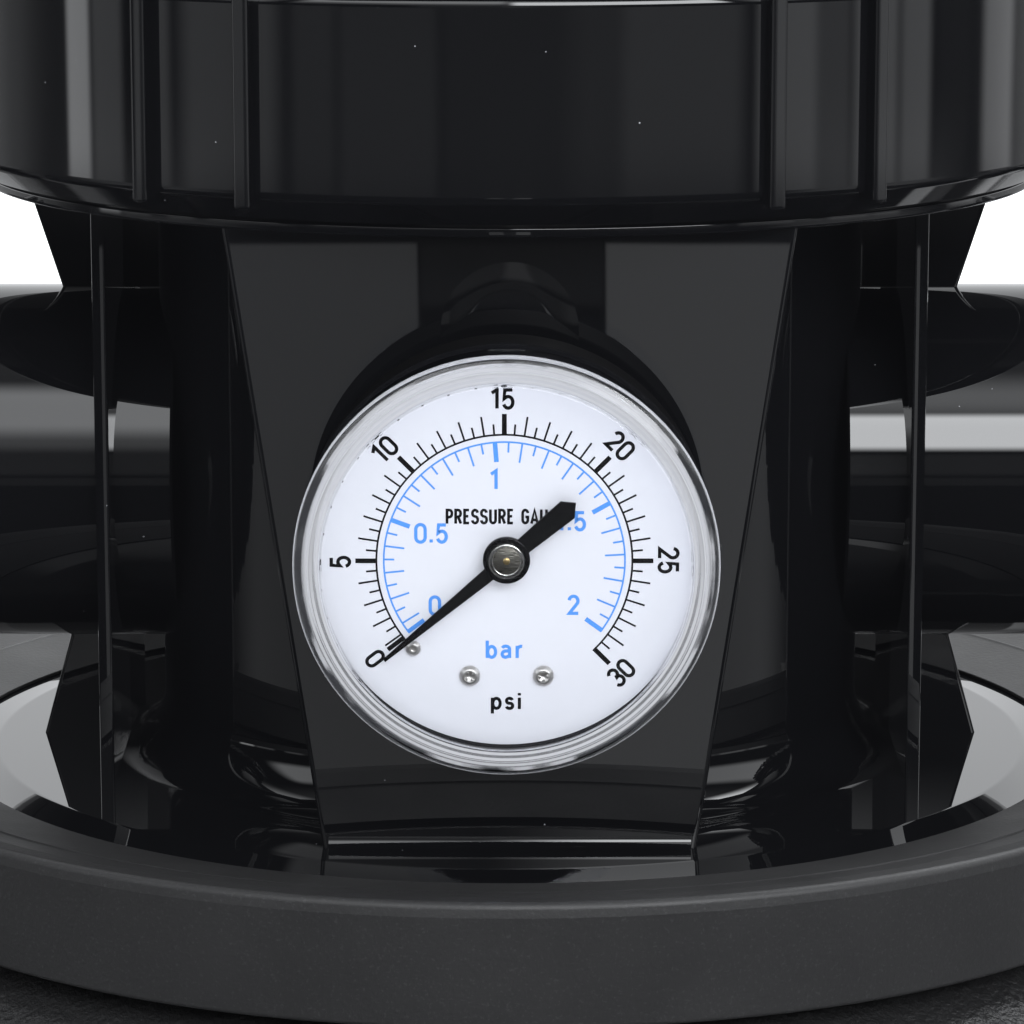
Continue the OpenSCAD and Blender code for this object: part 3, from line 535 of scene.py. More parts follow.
def prism(outline, low, high, bevel=0.0, steps=3):
    """Extrudes an outline in X and Y from z low to z high and rounds its rim edges."""
    bm = bmesh.new()
    bottom = [bm.verts.new((x, y, low)) for x, y in outline]
    top = [bm.verts.new((x, y, high)) for x, y in outline]
    caps = [bm.faces.new(bottom), bm.faces.new(top)]
    for i in range(len(outline)):
        j = (i + 1) % len(outline)
        bm.faces.new((bottom[i], bottom[j], top[j], top[i]))
    bmesh.ops.recalc_face_normals(bm, faces=bm.faces)
    if bevel:
        rims = list({e for face in caps for e in face.edges})
        bmesh.ops.bevel(bm, geom=rims, offset=bevel, segments=steps, profile=0.5, affect="EDGES")
    return bm


def block(size, centre, bevel=0.0, steps=3):
    """Box with all its edges rounded."""
    bm = bmesh.new()
    bmesh.ops.create_cube(bm, size=1.0, matrix=Matrix.Translation(centre) @ Matrix.Diagonal((*size, 1)))
    if bevel:
        bmesh.ops.bevel(bm, geom=list(bm.edges), offset=bevel, segments=steps, profile=0.5, affect="EDGES")
    return bm


class Piece:
    """Collects closed shapes into one mesh, then makes the object."""

    def __init__(self, name):
        self.name = name
        self.bm = bmesh.new()

    def add(self, part, place=None):
        if place is not None:
            bmesh.ops.transform(part, matrix=place, verts=part.verts)
        mesh = bpy.data.meshes.new("part")
        part.to_mesh(mesh)
        part.free()
        self.bm.from_mesh(mesh)
        bpy.data.meshes.remove(mesh)
        return self

    def make(self, body, material, slot, *nodes, sharp=32.0, flat=False):
        bmesh.ops.transform(self.bm, matrix=TO_WORLD, verts=self.bm.verts)
        for face in self.bm.faces:
            face.smooth = not flat
        for edge in self.bm.edges:
            edge.smooth = len(edge.link_faces) == 2 and edge.calc_face_angle(0.0) < math.radians(sharp)
        mesh = bpy.data.meshes.new(self.name)
        self.bm.to_mesh(mesh)
        self.bm.free()
        mesh.materials.append(MATERIALS[material])
        piece = bpy.data.objects.new(self.name, mesh)
        bpy.context.scene.collection.objects.link(piece)
        if not flat:
            weigh_normals(piece)
        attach(piece, body)
        if nodes:
            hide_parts(*nodes)
        return piece


def weigh_normals(piece):
    """Keeps large flat faces flat beside their rounded edges."""
    modifier = piece.modifiers.new("weigh", "WEIGHTED_NORMAL")
    modifier.keep_sharp = True
    graph = bpy.context.evaluated_depsgraph_get()
    mesh = bpy.data.meshes.new_from_object(piece.evaluated_get(graph))
    piece.modifiers.clear()
    piece.data = mesh


# ---- strokes and lettering ----

def ribbon(points, width, low, high, closed=False):
    """Flat line of even width along a path, from z low to z high."""
    bm = bmesh.new()
    path = [Vector(p) for p in points]
    rails = []
    for i, here in enumerate(path):
        before = path[i - 1] if i or closed else None
        after = path[(i + 1) % len(path)] if i + 1 < len(path) or closed else None
        steps = ((before, here), (here, after))
        ways = [(b - a).normalized() for a, b in steps if a is not None and b is not None]
        way = sum(ways, Vector((0, 0))).normalized()
        side = Vector((-way.y, way.x))
        reach = width / 2 / max(0.45, side.dot(Vector((-ways[0].y, ways[0].x))))
        corners = [here + side * reach, here - side * reach]
        rails.append([bm.verts.new((c.x, c.y, z)) for c, z in
                      ((corners[0], low), (corners[1], low), (corners[1], high), (corners[0], high))])
    for a, b in zip(rails, rails[1:] + (rails[:1] if closed else [])):
        for k in range(4):
            n = (k + 1) % 4
            bm.faces.new((a[k], a[n], b[n], b[k]))
    if not closed:
        bm.faces.new(rails[0][::-1])
        bm.faces.new(rails[-1])
    bmesh.ops.recalc_face_normals(bm, faces=bm.faces)
    return bm


def bow(x, y, rx, ry, start, end, steps=14):
    """Points of an elliptical arc in degrees."""
    return [(x + rx * math.cos(math.radians(start + (end - start) * k / steps)),
             y + ry * math.sin(math.radians(start + (end - start) * k / steps))) for k in range(steps + 1)]


def arc_points(x, y, radius, start, end, steps):
    """Points of a circular arc in degrees, as vectors."""
    return [Vector(p) for p in bow(x, y, radius, radius, start, end, steps)]


LETTERS = {            # width and strokes of each sign, cap height 1; a path that ends where it starts closes
    "0": (0.54, [bow(0.27, 0.72, 0.25, 0.26, 0, 180) + bow(0.27, 0.28, 0.25, 0.26, 180, 360)
                 + [(0.52, 0.72)]]),
    "1": (0.40, [[(0.30, 0.0), (0.30, 0.985), (0.03, 0.80)]]),
    "2": (0.54, [bow(0.27, 0.72, 0.24, 0.26, 172, -28) + [(0.05, 0.04), (0.53, 0.04)]]),
    "3": (0.54, [bow(0.26, 0.745, 0.23, 0.235, 160, -80) + bow(0.26, 0.275, 0.25, 0.255, 80, -162)]),
    "4": (0.58, [[(0.43, 0.0), (0.43, 0.96), (0.03, 0.27), (0.57, 0.27)]]),
    "5": (0.54, [[(0.49, 0.96), (0.10, 0.96), (0.06, 0.50)] + bow(0.27, 0.32, 0.24, 0.30, 128, -160)]),
    ".": (0.16, [[(0.08, 0.0), (0.08, 0.17)]]),
    " ": (0.30, []),
    "P": (0.50, [[(0.06, 0.0), (0.06, 0.96), (0.22, 0.96)] + bow(0.24, 0.71, 0.22, 0.25, 90, -90)
                 + [(0.06, 0.46)]]),
    "R": (0.52, [[(0.06, 0.0), (0.06, 0.96), (0.22, 0.96)] + bow(0.24, 0.72, 0.22, 0.24, 90, -90)
                 + [(0.06, 0.48)], [(0.26, 0.48), (0.48, 0.0)]]),
    "E": (0.44, [[(0.42, 0.04), (0.06, 0.04), (0.06, 0.96), (0.42, 0.96)], [(0.06, 0.52), (0.36, 0.52)]]),
    "S": (0.52, [bow(0.26, 0.735, 0.21, 0.225, 8, 250) + bow(0.26, 0.27, 0.22, 0.235, 70, -172)]),
    "U": (0.54, [[(0.06, 1.0), (0.06, 0.28)] + bow(0.27, 0.28, 0.21, 0.24, 180, 360) + [(0.48, 1.0)]]),
    "G": (0.54, [bow(0.27, 0.72, 0.21, 0.24, 5, 180) + bow(0.27, 0.28, 0.21, 0.24, 180, 360)
                 + [(0.48, 0.47), (0.28, 0.47)]]),
    "A": (0.56, [[(0.03, 0.0), (0.28, 0.97), (0.53, 0.0)], [(0.12, 0.26), (0.44, 0.26)]]),
    "b": (0.52, [[(0.06, 0.0), (0.06, 1.0)], bow(0.28, 0.35, 0.20, 0.31, 180, -180, 24)]),
    "a": (0.50, [[(0.42, 0.0), (0.42, 0.50)] + bow(0.23, 0.50, 0.19, 0.18, 0, 155),
                 [(0.42, 0.40), (0.24, 0.40)] + bow(0.22, 0.22, 0.17, 0.18, 90, 270) + [(0.42, 0.12)]]),
    "r": (0.34, [[(0.06, 0.0), (0.06, 0.70)], bow(0.27, 0.42, 0.21, 0.25, 180, 78)]),
    "p": (0.52, [[(0.06, -0.28), (0.06, 0.70)], bow(0.28, 0.35, 0.20, 0.31, 180, -180, 24)]),
    "s": (0.44, [bow(0.22, 0.51, 0.16, 0.155, 15, 250) + bow(0.22, 0.20, 0.17, 0.165, 70, -165)]),
    "i": (0.14, [[(0.07, 0.0), (0.07, 0.70)], [(0.07, 0.84), (0.07, 0.99)]]),
}


def write(piece, text, height, stroke, x, y, low, high, angle=0.0, squeeze=1.0, gap=0.2, place=None):
    """Adds a word, centred at x, y and turned by angle."""
    width = sum(LETTERS[sign][0] for sign in text) + gap * (len(text) - 1)
    pen = -width / 2
    turn = Matrix.Translation((x, y, 0)) @ spin(angle)
    for sign in text:
        for k, path in enumerate(LETTERS[sign][1]):
            points = [((pen + px) * height * squeeze, (py - 0.5) * height) for px, py in path]
            closed = (Vector(path[0]) - Vector(path[-1])).length < 1e-6
            points = points[:-1] if closed else points
            clean = [p for i, p in enumerate(points)
                     if i == 0 or (Vector(p) - Vector(points[i - 1])).length > 1e-5]
            move = turn if place is None else place @ turn
            piece.add(ribbon(clean, stroke, low, high + 0.003 * k, closed), move)
        pen += LETTERS[sign][0] + gap


# ---- valve body ----

def panel_outline():
    """Gauge panel seen from the front: narrow at the foot, wide under the rim."""
    return [(-24.5, FLANGE_LOW + 1), (24.5, FLANGE_LOW + 1), (38, RIM_Z + 0.5), (-38, RIM_Z + 0.5)]


def boss_outline():
    """Low boss above the gauge: a flat top and a gently rounded edge."""
    top_r, edge_r, slope, steps = 5.3, 23.6, 9.5, 12
    outline = [(0, 60), (9.3, 60)]
    for k in range(steps, -1, -1):
        angle = math.radians(k * slope / steps)
        rise = edge_r * (math.cos(angle) - math.cos(math.radians(slope)))
        outline.append((top_r + edge_r * math.sin(angle), PANEL_Y - 0.01 + rise))
    outline.append((0, outline[-1][1]))
    return outline


def build_valve_body():
    """Body with its flange, core, rim, gauge panel, side plates and webs, then the three port pipes."""
    piece = Piece("valve_body_shell")
    piece.add(lathe(fillet([
        (22.5, FLANGE_LOW), (FLANGE_R, FLANGE_LOW, 0.6), (FLANGE_R, FLANGE_TOP, 0.8), (85, FLANGE_TOP),
        (FACE_R, FACE_Z, 5.0), (CORE_R + 0.001, FACE_Z, 8.0), (CORE_R, RIM_Z, 2.2), (RIM_R, RIM_Z, 0.5),
        (RIM_R, RIM_Z + 1.4, 0.3), (BOWL_R, RIM_Z + 1.4), (BOWL_R, 104.5, 0.5), (69, 104.5, 0.5),
        (69, 87.5), (22.5, 87.5)], 12)))
    piece.add(prism(panel_outline(), 30, PANEL_Y, 0.7, 4), front_at(0))
    heel_r = 1.6
    heel_y = -PANEL_Y - heel_r
    heel = [(-PANEL_Y + 0.5, FACE_Z - 0.5), (heel_y, FACE_Z - 0.5)]
    heel += arc_points(heel_y, FACE_Z + heel_r, heel_r, -90, 0, 10)
    heel += [(-PANEL_Y + 0.5, FACE_Z + heel_r)]
    piece.add(prism(heel, -24.5, 24.5), ALONG_X)
    piece.add(lathe(boss_outline(), 128), front_at(GAUGE_H + 26.3))
    socket = [(7, 60), (12, 60), (12, PANEL_Y + 3, 0.5), (7, PANEL_Y + 3, 0.5)]
    piece.add(lathe(fillet(socket), 96), gauge_frame())
    for s in (-1, 1):
        plate = block((2.0, 58.0, RIM_Z - FLANGE_TOP + 1), (s * 57.8, 0, (RIM_Z + FLANGE_TOP) / 2), 0.25, 2)
        piece.add(plate)
        upper = [(50, PORT_H + 20), (64.6, PORT_H + 22.3), (71, RIM_Z - 0.5), (71, RIM_Z + 0.6),
                 (50, RIM_Z + 0.6)]
        lower = [(50, PORT_H - 20), (64.8, PORT_H - 20), (65.6, 12), (70, FACE_Z - 1), (50, FACE_Z - 1)]
        for web in (upper, lower):
            outline = [(s * x, z) for x, z in web]
            piece.add(prism(outline, -1.5, 1.5, 0.5), TO_FRONT)
    piece.add(lathe([(22.5, -34), (30, -34), (30, -8), (22.5, -8)], 96))
    piece.add(lathe([(74, -24), (81.8, -24), (81.8, -8), (74, -8)], 192))
    piece.make("tank", "gloss_body", "gloss_black", "valve_body")
    for name, angle in PORTS:
        pipe = Piece("port_pipe_%s_shell" % name)
        threads = ridges(104.5, 5, 2.8, (29.0, 0), (29.8, 0.9), (29.8, 1.3), (29.0, 2.2))
        pipe.add(lathe(fillet([(PIPE_BORE_R, 48.5), (PIPE_R, 48.5), (PIPE_R, 103, 1.0), (29.0, 103, 0.4)]
                              + threads + [(29.8, 118, 0.5), (26.6, 118), (26.6, 116.6), (23.4, 116.6),
                                           (23.4, 118), (PIPE_BORE_R, 118, 0.5)]), 240), port_at(angle))
        pipe.make("tank", "gloss_body", "gloss_black", "port_pipe_" + name)


def build_lock_collar():
    """Threaded ring with twelve grip ribs in six pairs."""
    piece = Piece("lock_collar_shell")
    piece.add(lathe(fillet([
        (BOWL_R + 0.2, COLLAR_LOW), (77.5, COLLAR_LOW, 0.8), (COLLAR_R, 86.6, 1.6),
        (COLLAR_R, COLLAR_TOP, 2.0), (66.5, COLLAR_TOP, 1.0), (66.5, 110.0), (BOWL_R + 0.2, 110.0)], 8),
        360))
    for pair in range(6):
        for s in (-1, 1):
            turn = spin(-60 + 60 * pair + s * 5.5)
            rib = block((5.0, 2.3, 29.4), (COLLAR_R - 0.5, 0, 99.8), 0.55, 4)
            piece.add(rib, turn)
    piece.make("tank", "gloss_black", "gloss_black", "lock_collar")


def build_clamp():
    """Two halves with a rounded shoulder, a fine raised line and bolted ears."""
    ring = [(91.3, CLAMP_LOW), (100.0, CLAMP_LOW, 0.8), (CLAMP_R, -2.0, 0.5), (CLAMP_R - 0.1, 0.0, 2.4),
            (99.4, -0.1, 1.0), (95.0, -0.86), (94.75, -0.77), (94.5, -0.76), (94.25, -0.86), (94.0, -1.04),
            (82.6, -3.0, 0.2), (82.6, -3.5, 0.1), (86.0, -4.0), (96.2, -4.0), (96.2, -14.0), (91.3, -14.0)]
    for name, start in (("front", 180.85), ("rear", 0.85)):
        half = Piece("clamp_%s_shell" % name)
        half.add(lathe(fillet(ring, 8), 240, start, 178.3))
        sign = -1 if name == "front" else 1
        for s in (-1, 1):
            ear = block((24, 12.4, 16.0), (s * 112, sign * 7.75, CLAMP_LOW + 8.0), 1.6, 4)
            half.add(ear)
            half.add(block((10, 11, 3.0), (s * 112, sign * 7.4, -2.2), 0.8))
        half.make("tank", "clamp_plastic", "clamp_plastic", "clamp_" + name)


# ---- pressure gauge ----

def build_gauge_case():
    """Cup-shaped case with a small step where the clear cap's skirt slides over."""
    piece = Piece("gauge_case_shell")
    piece.add(lathe(fillet([
        (6.6, 70), (26.6, 70, 1.2), (27.0, 81.7, 0.5), (26.4, 82.3, 0.2), (26.4, 88, 0.3), (24.8, 88, 0.2),
        (24.8, 72), (6.6, 72)], 6)), gauge_frame())
    piece.make("tank", "case_black", "gloss_black", "gauge_case")


def build_lens():
    """Clear cap: stepped face, rounded shoulder, a skirt over the case and three snap lugs."""
    piece = Piece("gauge_cap_clear")
    piece.add(lathe(fillet([
        (0, 92.6), (24.9, 92.6, 0.4), (24.9, 88.7), (26.45, 88.7), (26.45, 82.2), (27.25, 82.2, 0.3),
        (27.25, 93.4, 1.3), (25.2, 94.4, 0.4), (23.7, 94.4, 0.15), (23.5, 95.0, 0.15), (0, 95.0)], 6)),
        gauge_frame())
    for angle in (0, 90, 180):
        turn = spin(angle)
        piece.add(block((1.3, 5.0, 7.0), (27.05, 0, 87.5), 0.3), gauge_frame() @ turn)
    piece.make("tank", "clear_plastic", "clear_plastic", "gauge_lens")


def polar(radius, angle):
    return (radius * math.cos(math.radians(angle)), radius * math.sin(math.radians(angle)))


def print_frame():
    """The printed scales sit a little off the gauge's axis."""
    return gauge_frame() @ Matrix.Translation((*PRINT_SHIFT, 0))


def scale_tick(piece, angle, inner, outer, width):
    """One tick of a dial scale, a hair in front of the arc that it crosses."""
    low, high = PRINT
    piece.add(ribbon([polar(inner, angle), polar(outer, angle)], width, low, high + 0.004), print_frame())


def scale_arc(piece, radius, start, end, width):
    """Thin arc that joins a scale's ticks."""
    steps = 120
    points = [polar(radius, start + (end - start) * k / steps) for k in range(steps + 1)]
    piece.add(ribbon(points, width, *PRINT), print_frame())


def build_dial_print():
    """Black psi scale outside, blue bar scale inside, with their words."""
    place = print_frame()
    black = Piece("dial_scale_black")
    zero = 217.9
    psi = lambda value: 225.0 - 9.0 * value
    scale_arc(black, 16.45, zero + 0.6, psi(30) - 0.6, 0.25)
    for half in range(2, 61):
        if half % 10 == 0:
            scale_tick(black, psi(half / 2), 16.35, 19.15, 0.62)
        else:
            scale_tick(black, psi(half / 2), 16.45, 19.0 if half % 2 == 0 else 17.85, 0.25)
    scale_tick(black, zero, 16.35, 19.05, 0.6)
    number_r = 21.1
    for value, angle in ((5, 180.4), (10, 136.6), (15, 90.7), (20, 45.4), (25, 0.2)):
        x, y = polar(number_r, angle)
        write(black, str(value), 2.5, 0.45, x, y, *PRINT, psi(value) - 90, 1.0, 0.2, place)
    for text, angle in (("0", 217.7), ("30", -44.4)):
        x, y = polar(number_r, angle)
        write(black, text, 2.45, 0.45, x, y, *PRINT, angle + 90, 1.0, 0.16, place)
    write(black, "PRESSURE GAUGE", 1.85, 0.36, 0.12, 5.8, *PRINT, 0, 0.86, 0.2, place)
    write(black, "psi", 2.15, 0.42, 0.2, -18.5, *PRINT, 0, 1.12, 0.24, place)
    black.make("tank", "dial_black", "dial_black", flat=True)
    blue = Piece("dial_scale_blue")
    bar = lambda value: 225.0 - 9.0 * 14.504 * value
    scale_arc(blue, 15.5, 217.3, bar(2) - 0.6, 0.23)
    for step in range(2, 41):
        angle = bar(step / 20)
        if step % 10 == 0:
            scale_tick(blue, angle, 12.95, 15.6, 0.6)
        else:
            scale_tick(blue, angle, 12.95 if step % 2 == 0 else 14.15, 15.5, 0.24)
    scale_tick(blue, 216.9, 12.95, 15.6, 0.55)
    for text, x, y in (("0", -8.95, -5.9), ("0.5", -9.4, 3.6), ("1", -1.3, 10.6), ("1.5", 8.5, 5.2),
                       ("2", 8.9, -5.8)):
        write(blue, text, 2.4, 0.43, x, y, *PRINT, 0, 1.0, 0.22, place)
    write(blue, "bar", 2.3, 0.43, 0, -11.65, *PRINT, 0, 1.12, 0.24, place)
    blue.make("tank", "dial_blue", "dial_black", flat=True)


def build_pointer():
    """Pressed blade with a pointed tail, turned boss, bright-rimmed cap and brass pin."""
    place = gauge_frame() @ spin(220)
    blade = Piece("pointer_blade")
    outline = [(20.6, 0.24), (0, 1.02), (-3.05, 1.12), (-10.2, 1.42), (-11.6, 0.0), (-10.2, -1.42),
               (-3.05, -1.12), (0, -1.02), (20.6, -0.24)]
    blade.add(prism(outline, 88.2, 88.7, 0.12, 2), place)
    hub = [(2.2, 88.2), (3.04, 88.2, 0.1), (3.04, 89.1, 0.25), (2.2, 89.1, 0.1)]
    blade.add(lathe(fillet(hub), 96), place)
    blade.make("pointer_body", "pointer_black", "dial_black", "pointer")
    rim = Piece("pointer_cap_rim")
    edge = [(1.72, 88.9), (2.31, 88.9), (2.31, 89.4, 0.3), (1.78, 89.46, 0.1), (1.72, 89.3)]
    rim.add(lathe(fillet(edge, 6), 96), place)
    rim.make("pointer_body", "steel_bright", "steel")
    face = Piece("pointer_cap_face")
    face.add(lathe(fillet([(0, 89.0), (1.76, 89.0), (1.76, 89.41, 0.05), (0, 89.41)], 3), 96), place)
    face.make("pointer_body", "steel_dark", "steel")
    pin = Piece("pointer_pin")
    pin.add(lathe(fillet([(0, 89.0), (0.46, 89.0), (0.46, 89.62, 0.2), (0, 89.66)], 5), 48), place)
    pin.make("pointer_body", "brass", "brass")


def build_dial_screws():
    """Nickel pan heads with a cross recess and the pointer's stop."""
    heads = Piece("dial_screw_heads")
    for s in (-1, 1):
        place = gauge_frame() @ Matrix.Translation((s * 4.75, -15.55, 0)) @ spin(20 + 30 * s)
        profile = [(0, 83.4), (0.8, 83.4), (0.8, 87.0), (1.36, 87.0, 0.06), (1.36, 87.35, 0.3),
                   (0.9, 87.8, 0.3), (0.72, 87.8), (0.36, 87.45), (0, 87.35)]
        heads.add(lathe(fillet(profile, 5), 72), place)
        for k in range(4):
            quarter = spin(90 * k)
            lobe = [(0.16, 0.16), (0.62, 0.22), (0.62, 0.5), (0.5, 0.62), (0.22, 0.62)]
            heads.add(prism(lobe, 87.3, 87.74, 0.05, 2), place @ quarter)
    heads.make("tank", "nickel", "steel", "dial_screws")
    stop = Piece("stop_pin_head")
    place = gauge_frame() @ Matrix.Translation((-12.05, -11.9, 0))
    head = [(0, 85.8), (0.5, 85.8), (0.5, 87.0), (1.0, 87.0, 0.05), (1.0, 87.3, 0.2), (0.6, 87.66, 0.1),
            (0.3, 87.66, 0.05), (0.26, 87.3), (0, 87.3)]
    stop.add(lathe(fillet(head, 5), 64), place)
    stop.make("tank", "nickel", "steel", "stop_pin")


# ---- cover, handle and position plate ----

def build_cover():
    """Cover with its sleeve, and the plate that numbers the four positions."""
    piece = Piece("valve_cover_shell")
    piece.add(lathe(fillet([
        (9.05, 112.5), (58, 112.5, 1.0), (66.4, 99.5), (66.9, 104.5), (75.0, 104.5), (75.0, 110.0),
        (65.5, 110.0, 0.5), (62.0, 117.0, 2.0), (34.0, 117.0, 0.8), (31.0, 119.0, 0.8), (24.0, 119.0, 1.5),
        (22.0, 124.0, 0.6), (9.05, 124.0, 0.4)], 6), 240))
    piece.make("tank", "gloss_black", "gloss_black", "valve_cover")
    plate = Piece("position_plate_face")
    ring = [(36, PLATE_TOP - 1), (60, PLATE_TOP - 1), (60, PLATE_TOP, 0.25), (36, PLATE_TOP, 0.25)]
    plate.add(lathe(fillet(ring, 4), 240))
    plate.make("tank", "plate_silver", "plate_silver", "position_plate")
    marks = Piece("position_marks")
    for k in range(4):
        x, y = polar(50, 90 * k - 90)
        write(marks, str(k + 1), 7.0, 1.0, x, y, *PLATE_PRINT, 90 * k, 1.0)
    for k in range(36):
        if k % 9:
            marks.add(ribbon([polar(56, 10 * k - 90), polar(58.4, 10 * k - 90)], 0.5, *PLATE_PRINT))
    for k in range(4):
        arrow = spin(90 * k)
        marks.add(prism([(-1.6, -59), (1.6, -59), (0, -55.4)], *PLATE_PRINT), arrow)
    marks.make("tank", "dial_black", "dial_black", flat=True)


def build_handle():
    """Lever with two cam cheeks, a waisted arm and a cross grip."""
    piece = Piece("handle_shell")
    cheek = [Vector((-14, PIN_H)) + Vector(polar(18.95, a)) for a in range(62, 299, 4)]
    cheek += [Vector((0, PIN_H)) + Vector(polar(10, a)) for a in range(-62, 63, 6)]
    for s in (-1, 1):
        low = 9.5 if s > 0 else -17.5
        piece.add(prism(cheek, low, low + 8, 0.9, 4), ALONG_X)
        for hub in (low - 0.2, low + 7.9):
            piece.add(lathe(fillet([(3.1, 0), (6.0, 0), (6.0, 0.3, 0.1), (3.1, 0.3)], 3), 64),
                      Matrix.Translation((hub, 0, PIN_H)) @ spin(90, "Y"))
    arm = fillet([(-17.5, -100, 3), (-17.5, -28, 3), (17.5, -28, 3), (17.5, -100, 3)], 6)
    piece.add(prism(arm, PIN_H + 1.2, PIN_H + 12.8, 2.2, 6))
    for s in (-1, 1):
        piece.add(block((2.4, 52, 1.4), (s * 9.5, -64, PIN_H + 12.9), 0.5))
    grip = [(0, -54.8), (3.4, -54.3), (6.3, -52.4), (8.3, -49.4), (9.0, -46)]
    for k in range(5):
        at = -34 + k * 15
        grip += [(9.0, at), (8.6, at + 3.5), (9.0, at + 7)]
    grip += [(9.0, 46), (8.3, 49.4), (6.3, 52.4), (3.4, 54.3), (0, 54.8)]
    piece.add(lathe(grip, 96),
              Matrix.Translation((0, -108, PIN_H + 8)) @ spin(90, "Y"))
    piece.make("handle_body", "gloss_black", "gloss_black", "handle", sharp=40)


def build_spring():
    """The rotor's compression spring, fitted to the CAD spring's box and carried by the selector sleeve."""
    low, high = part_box("rotor_spring")
    wire, mean, turns, steps, sides = 1.6, 15.4, 3.5, 168, 16
    first = (low.z - SEAT) / MM + wire
    rise = (high.z - low.z) / MM - 2 * wire
    bm = bmesh.new()
    rings = []
    for k in range(steps + 1):
        angle = 2 * math.pi * turns * k / steps
        ring = []
        for i in range(sides):
            around = 2 * math.pi * i / sides
            reach = mean + wire * math.cos(around)
            ring.append(bm.verts.new((reach * math.cos(angle), reach * math.sin(angle),
                                      first + rise * k / steps + wire * math.sin(around))))
        rings.append(ring)
    for a, b in zip(rings, rings[1:]):
        for i in range(sides):
            n = (i + 1) % sides
            bm.faces.new((a[i], b[i], b[n], a[n]))
    bm.faces.new(rings[0])
    bm.faces.new(rings[-1][::-1])
    bmesh.ops.recalc_face_normals(bm, faces=bm.faces)
    coil = Piece("rotor_spring_coil").add(bm).make("selector_sleeve", "steel", "steel", "rotor_spring")
    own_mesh(coil)


# ---- port unions ----

def build_unions():
    """A ribbed nut and a barbed hose tail for each port."""
    for name, angle in PORTS:
        nut = Piece("union_nut_%s_shell" % name)
        nut.add(lathe(fillet([(29.9, 104), (33.6, 104, 1.0), (34.5, 106.5, 0.8), (34.5, 127.0, 1.2),
                              (33.2, 129, 0.8), (25.3, 129, 0.6), (25.3, 125), (29.9, 125)], 6), 240),
                port_at(angle))
        for k in range(36):
            turn = spin(10 * k)
            size = (3.0, 2.2, 20.0) if k % 3 else (3.4, 4.0, 21.5)
            nut.add(block(size, (34.3, 0, 116.2), 0.6, 3), port_at(angle) @ turn)
        nut.make("tank", "gloss_black", "gloss_black", "union_nut_" + name)
        tail = Piece("hose_tail_%s_shell" % name)
        barbs = ridges(141.0, 6, 5.2, (18.2, 0), (19.0, 4.2), (18.2, 4.6))
        outline = [(16, 118), (29.6, 118), (29.6, 125, 0.4), (25.2, 125), (25.2, 133, 0.8), (19.0, 138, 1.0),
                   (19.0, 140.6)] + barbs + [(18.0, 174, 1.0), (16, 174, 0.6)]
        tail.add(lathe(fillet(outline, 5), 240), port_at(angle))
        tail.make("tank", "gloss_black", "gloss_black", "hose_tail_" + name)


# ---- tank ----

def tank_side(inset):
    """Tank wall from the neck down to the middle of the bottom, drawn inwards by inset."""
    crown = math.degrees(math.acos(115 / 130))
    base = math.degrees(math.acos(135 / 220))
    high = -185.5 + 130 * math.sin(math.radians(crown))
    base_z = -372 + 220 * math.sin(math.radians(base))
    neck = math.degrees(math.acos((91 - inset) / (190 - inset)))
    return (arc_points(0, -185.5, 190 - inset, neck, crown, 30)
            + arc_points(115, high, 60 - inset, crown, 0, 16)[1:]
            + arc_points(135, -372, 40 - inset, 0, -base, 12)
            + arc_points(0, base_z, 260 - inset, -base, -90, 24)[1:])


def build_tank():
    """Tank with its neck, drain pad and crown pips, and the ribbed foot that it stands on."""
    piece = Piece("tank_skin")
    top = [Vector(p) for p in ((82, -9.0), (95.8, -9.0), (95.8, -14.0), (91, -14.0))]
    inner = list(reversed(tank_side(5.0)))
    inner = [p for p in inner if p.x > 82.5 or p.y < -200] + [Vector((82, inner[-1].y - 1))]
    outer = tank_side(0.0)
    outer[-1].x = inner[0].x = 0.0
    piece.add(lathe(top + outer + inner))
    pad = [(17.2, 168), (32, 168), (32, 179, 2.0), (17.2, 179)]
    piece.add(lathe(fillet(pad, 6), 128), front_at(DRAIN_H))
    for k in range(8):
        turn = spin(45 * k)
        piece.add(block((7, 9, 3.2), (150, 0, -86.5), 1.2), turn)
    piece.make("tank", "tank_plastic", "tank_plastic", "tank_shell")
    foot = Piece("tank_foot_skin")
    foot.add(lathe(fillet([(0, -470), (168, -470, 1.5), (168, -464, 2.0), (162, -460, 2.0), (159.2, -408),
                           (152.4, -409), (155, -460), (148, -466), (0, -466)], 5)))
    for k in range(24):
        turn = spin(15 * k + 7.5)
        foot.add(block((3.0, 5.0, 40.0), (160.6, 0, -436), 1.0), turn)
    foot.make("tank", "tank_plastic", "tank_plastic", "tank_foot")


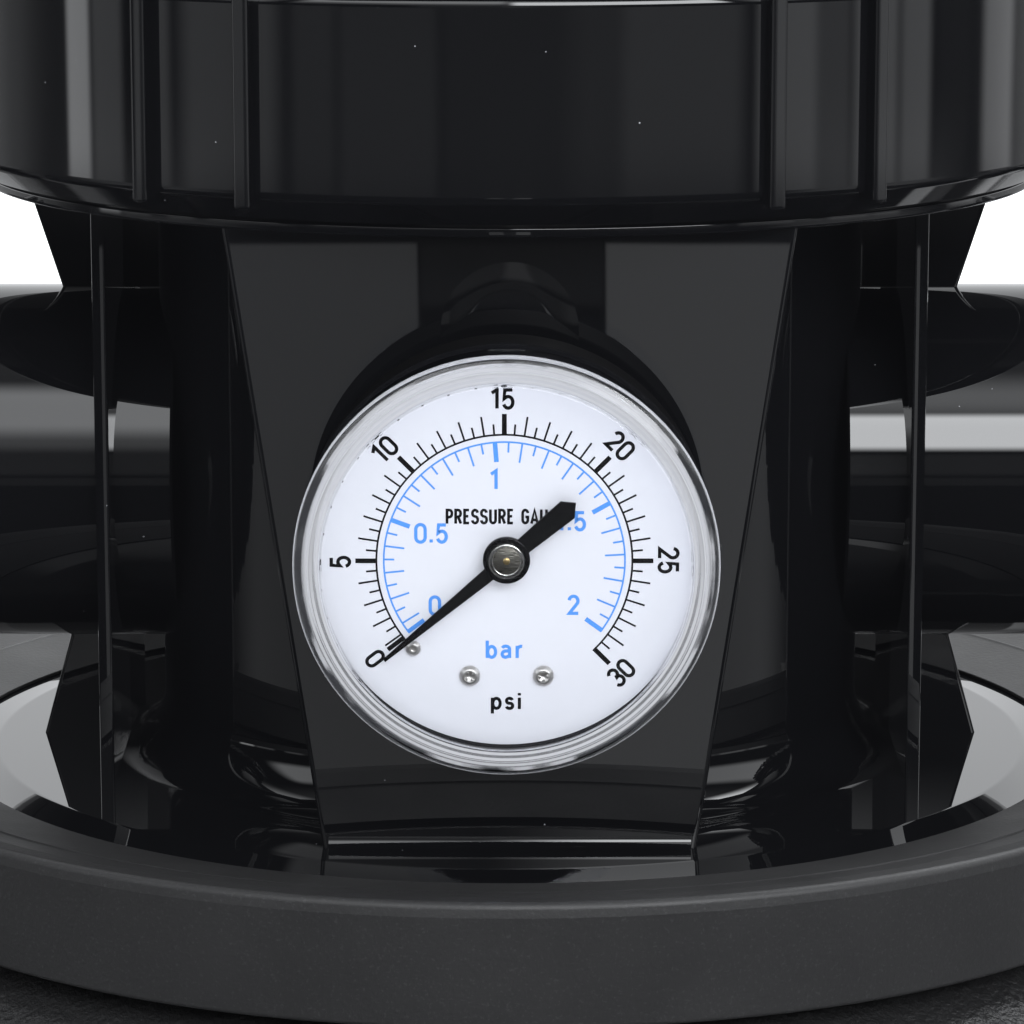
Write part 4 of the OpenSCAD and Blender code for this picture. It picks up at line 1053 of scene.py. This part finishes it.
def build_drain():
    """Ribbed drain cap with a grip bar, and the flanged spigot that it screws onto."""
    cap = Piece("drain_cap_shell")
    place = front_at(DRAIN_H)
    outline = [(17.05, 190), (21, 190, 0.8), (21, 209, 2.0), (0, 209), (0, 205), (17.05, 205)]
    cap.add(lathe(fillet(outline, 6), 160), place)
    for k in range(18):
        turn = spin(20 * k)
        cap.add(block((3.6, 3.0, 16.0), (20.55, 0, 199), 0.7), place @ turn)
    cap.add(block((26, 5, 1.6), (0, 0, 208.0), 0.6), place)
    cap.make("drain_cap_body", "clamp_plastic", "clamp_plastic", "drain_cap")
    spigot = Piece("drain_spigot_shell")
    thread = ridges(187, 5, 3.0, (16.2, 0), (17.0, 1.0), (17.0, 1.5), (16.2, 2.5))
    outline = [(12, 150), (17, 150), (17, 181), (28, 181, 0.5), (28, 185, 1.0), (16.2, 185)]
    outline += thread + [(16.6, 203, 0.4), (12, 203, 0.4)]
    spigot.add(lathe(fillet(outline, 5), 160), place)
    spigot.make("tank", "clamp_plastic", "clamp_plastic", "drain_spigot")


def build_bolts():
    """Bolts with a shallow thread form and chamfered heads, across the clamp's ears."""
    piece = Piece("clamp_bolt_set")
    for s in (-1, 1):
        place = Matrix.Translation((s * 114, 0, -9.5)) @ TO_FRONT
        thread = ridges(-24.6, 18, 1.25, (3.55, 0), (4.0, 0.55), (3.55, 1.1))
        shank = [(0, -25)] + thread + [(4.0, -1.5), (4.0, 15.6), (0, 15.6)]
        piece.add(lathe(shank, 64), place)
        piece.add(lathe([(0, 15.6), (7.5, 15.6), (7.5, 20.3), (6.6, 20.9), (0, 20.9)], 6), place)
    piece.make("tank", "steel", "steel", "clamp_bolts")


def main():
    make_camera()
    make_world()
    make_floor()
    dress_cad()
    build_valve_body()
    build_lock_collar()
    build_clamp()
    build_gauge_case()
    build_lens()
    build_dial_print()
    build_pointer()
    build_dial_screws()
    build_cover()
    build_handle()
    build_spring()
    build_unions()
    build_tank()
    build_drain()
    build_bolts()
    bpy.context.scene.view_settings.view_transform = "Standard"


main()
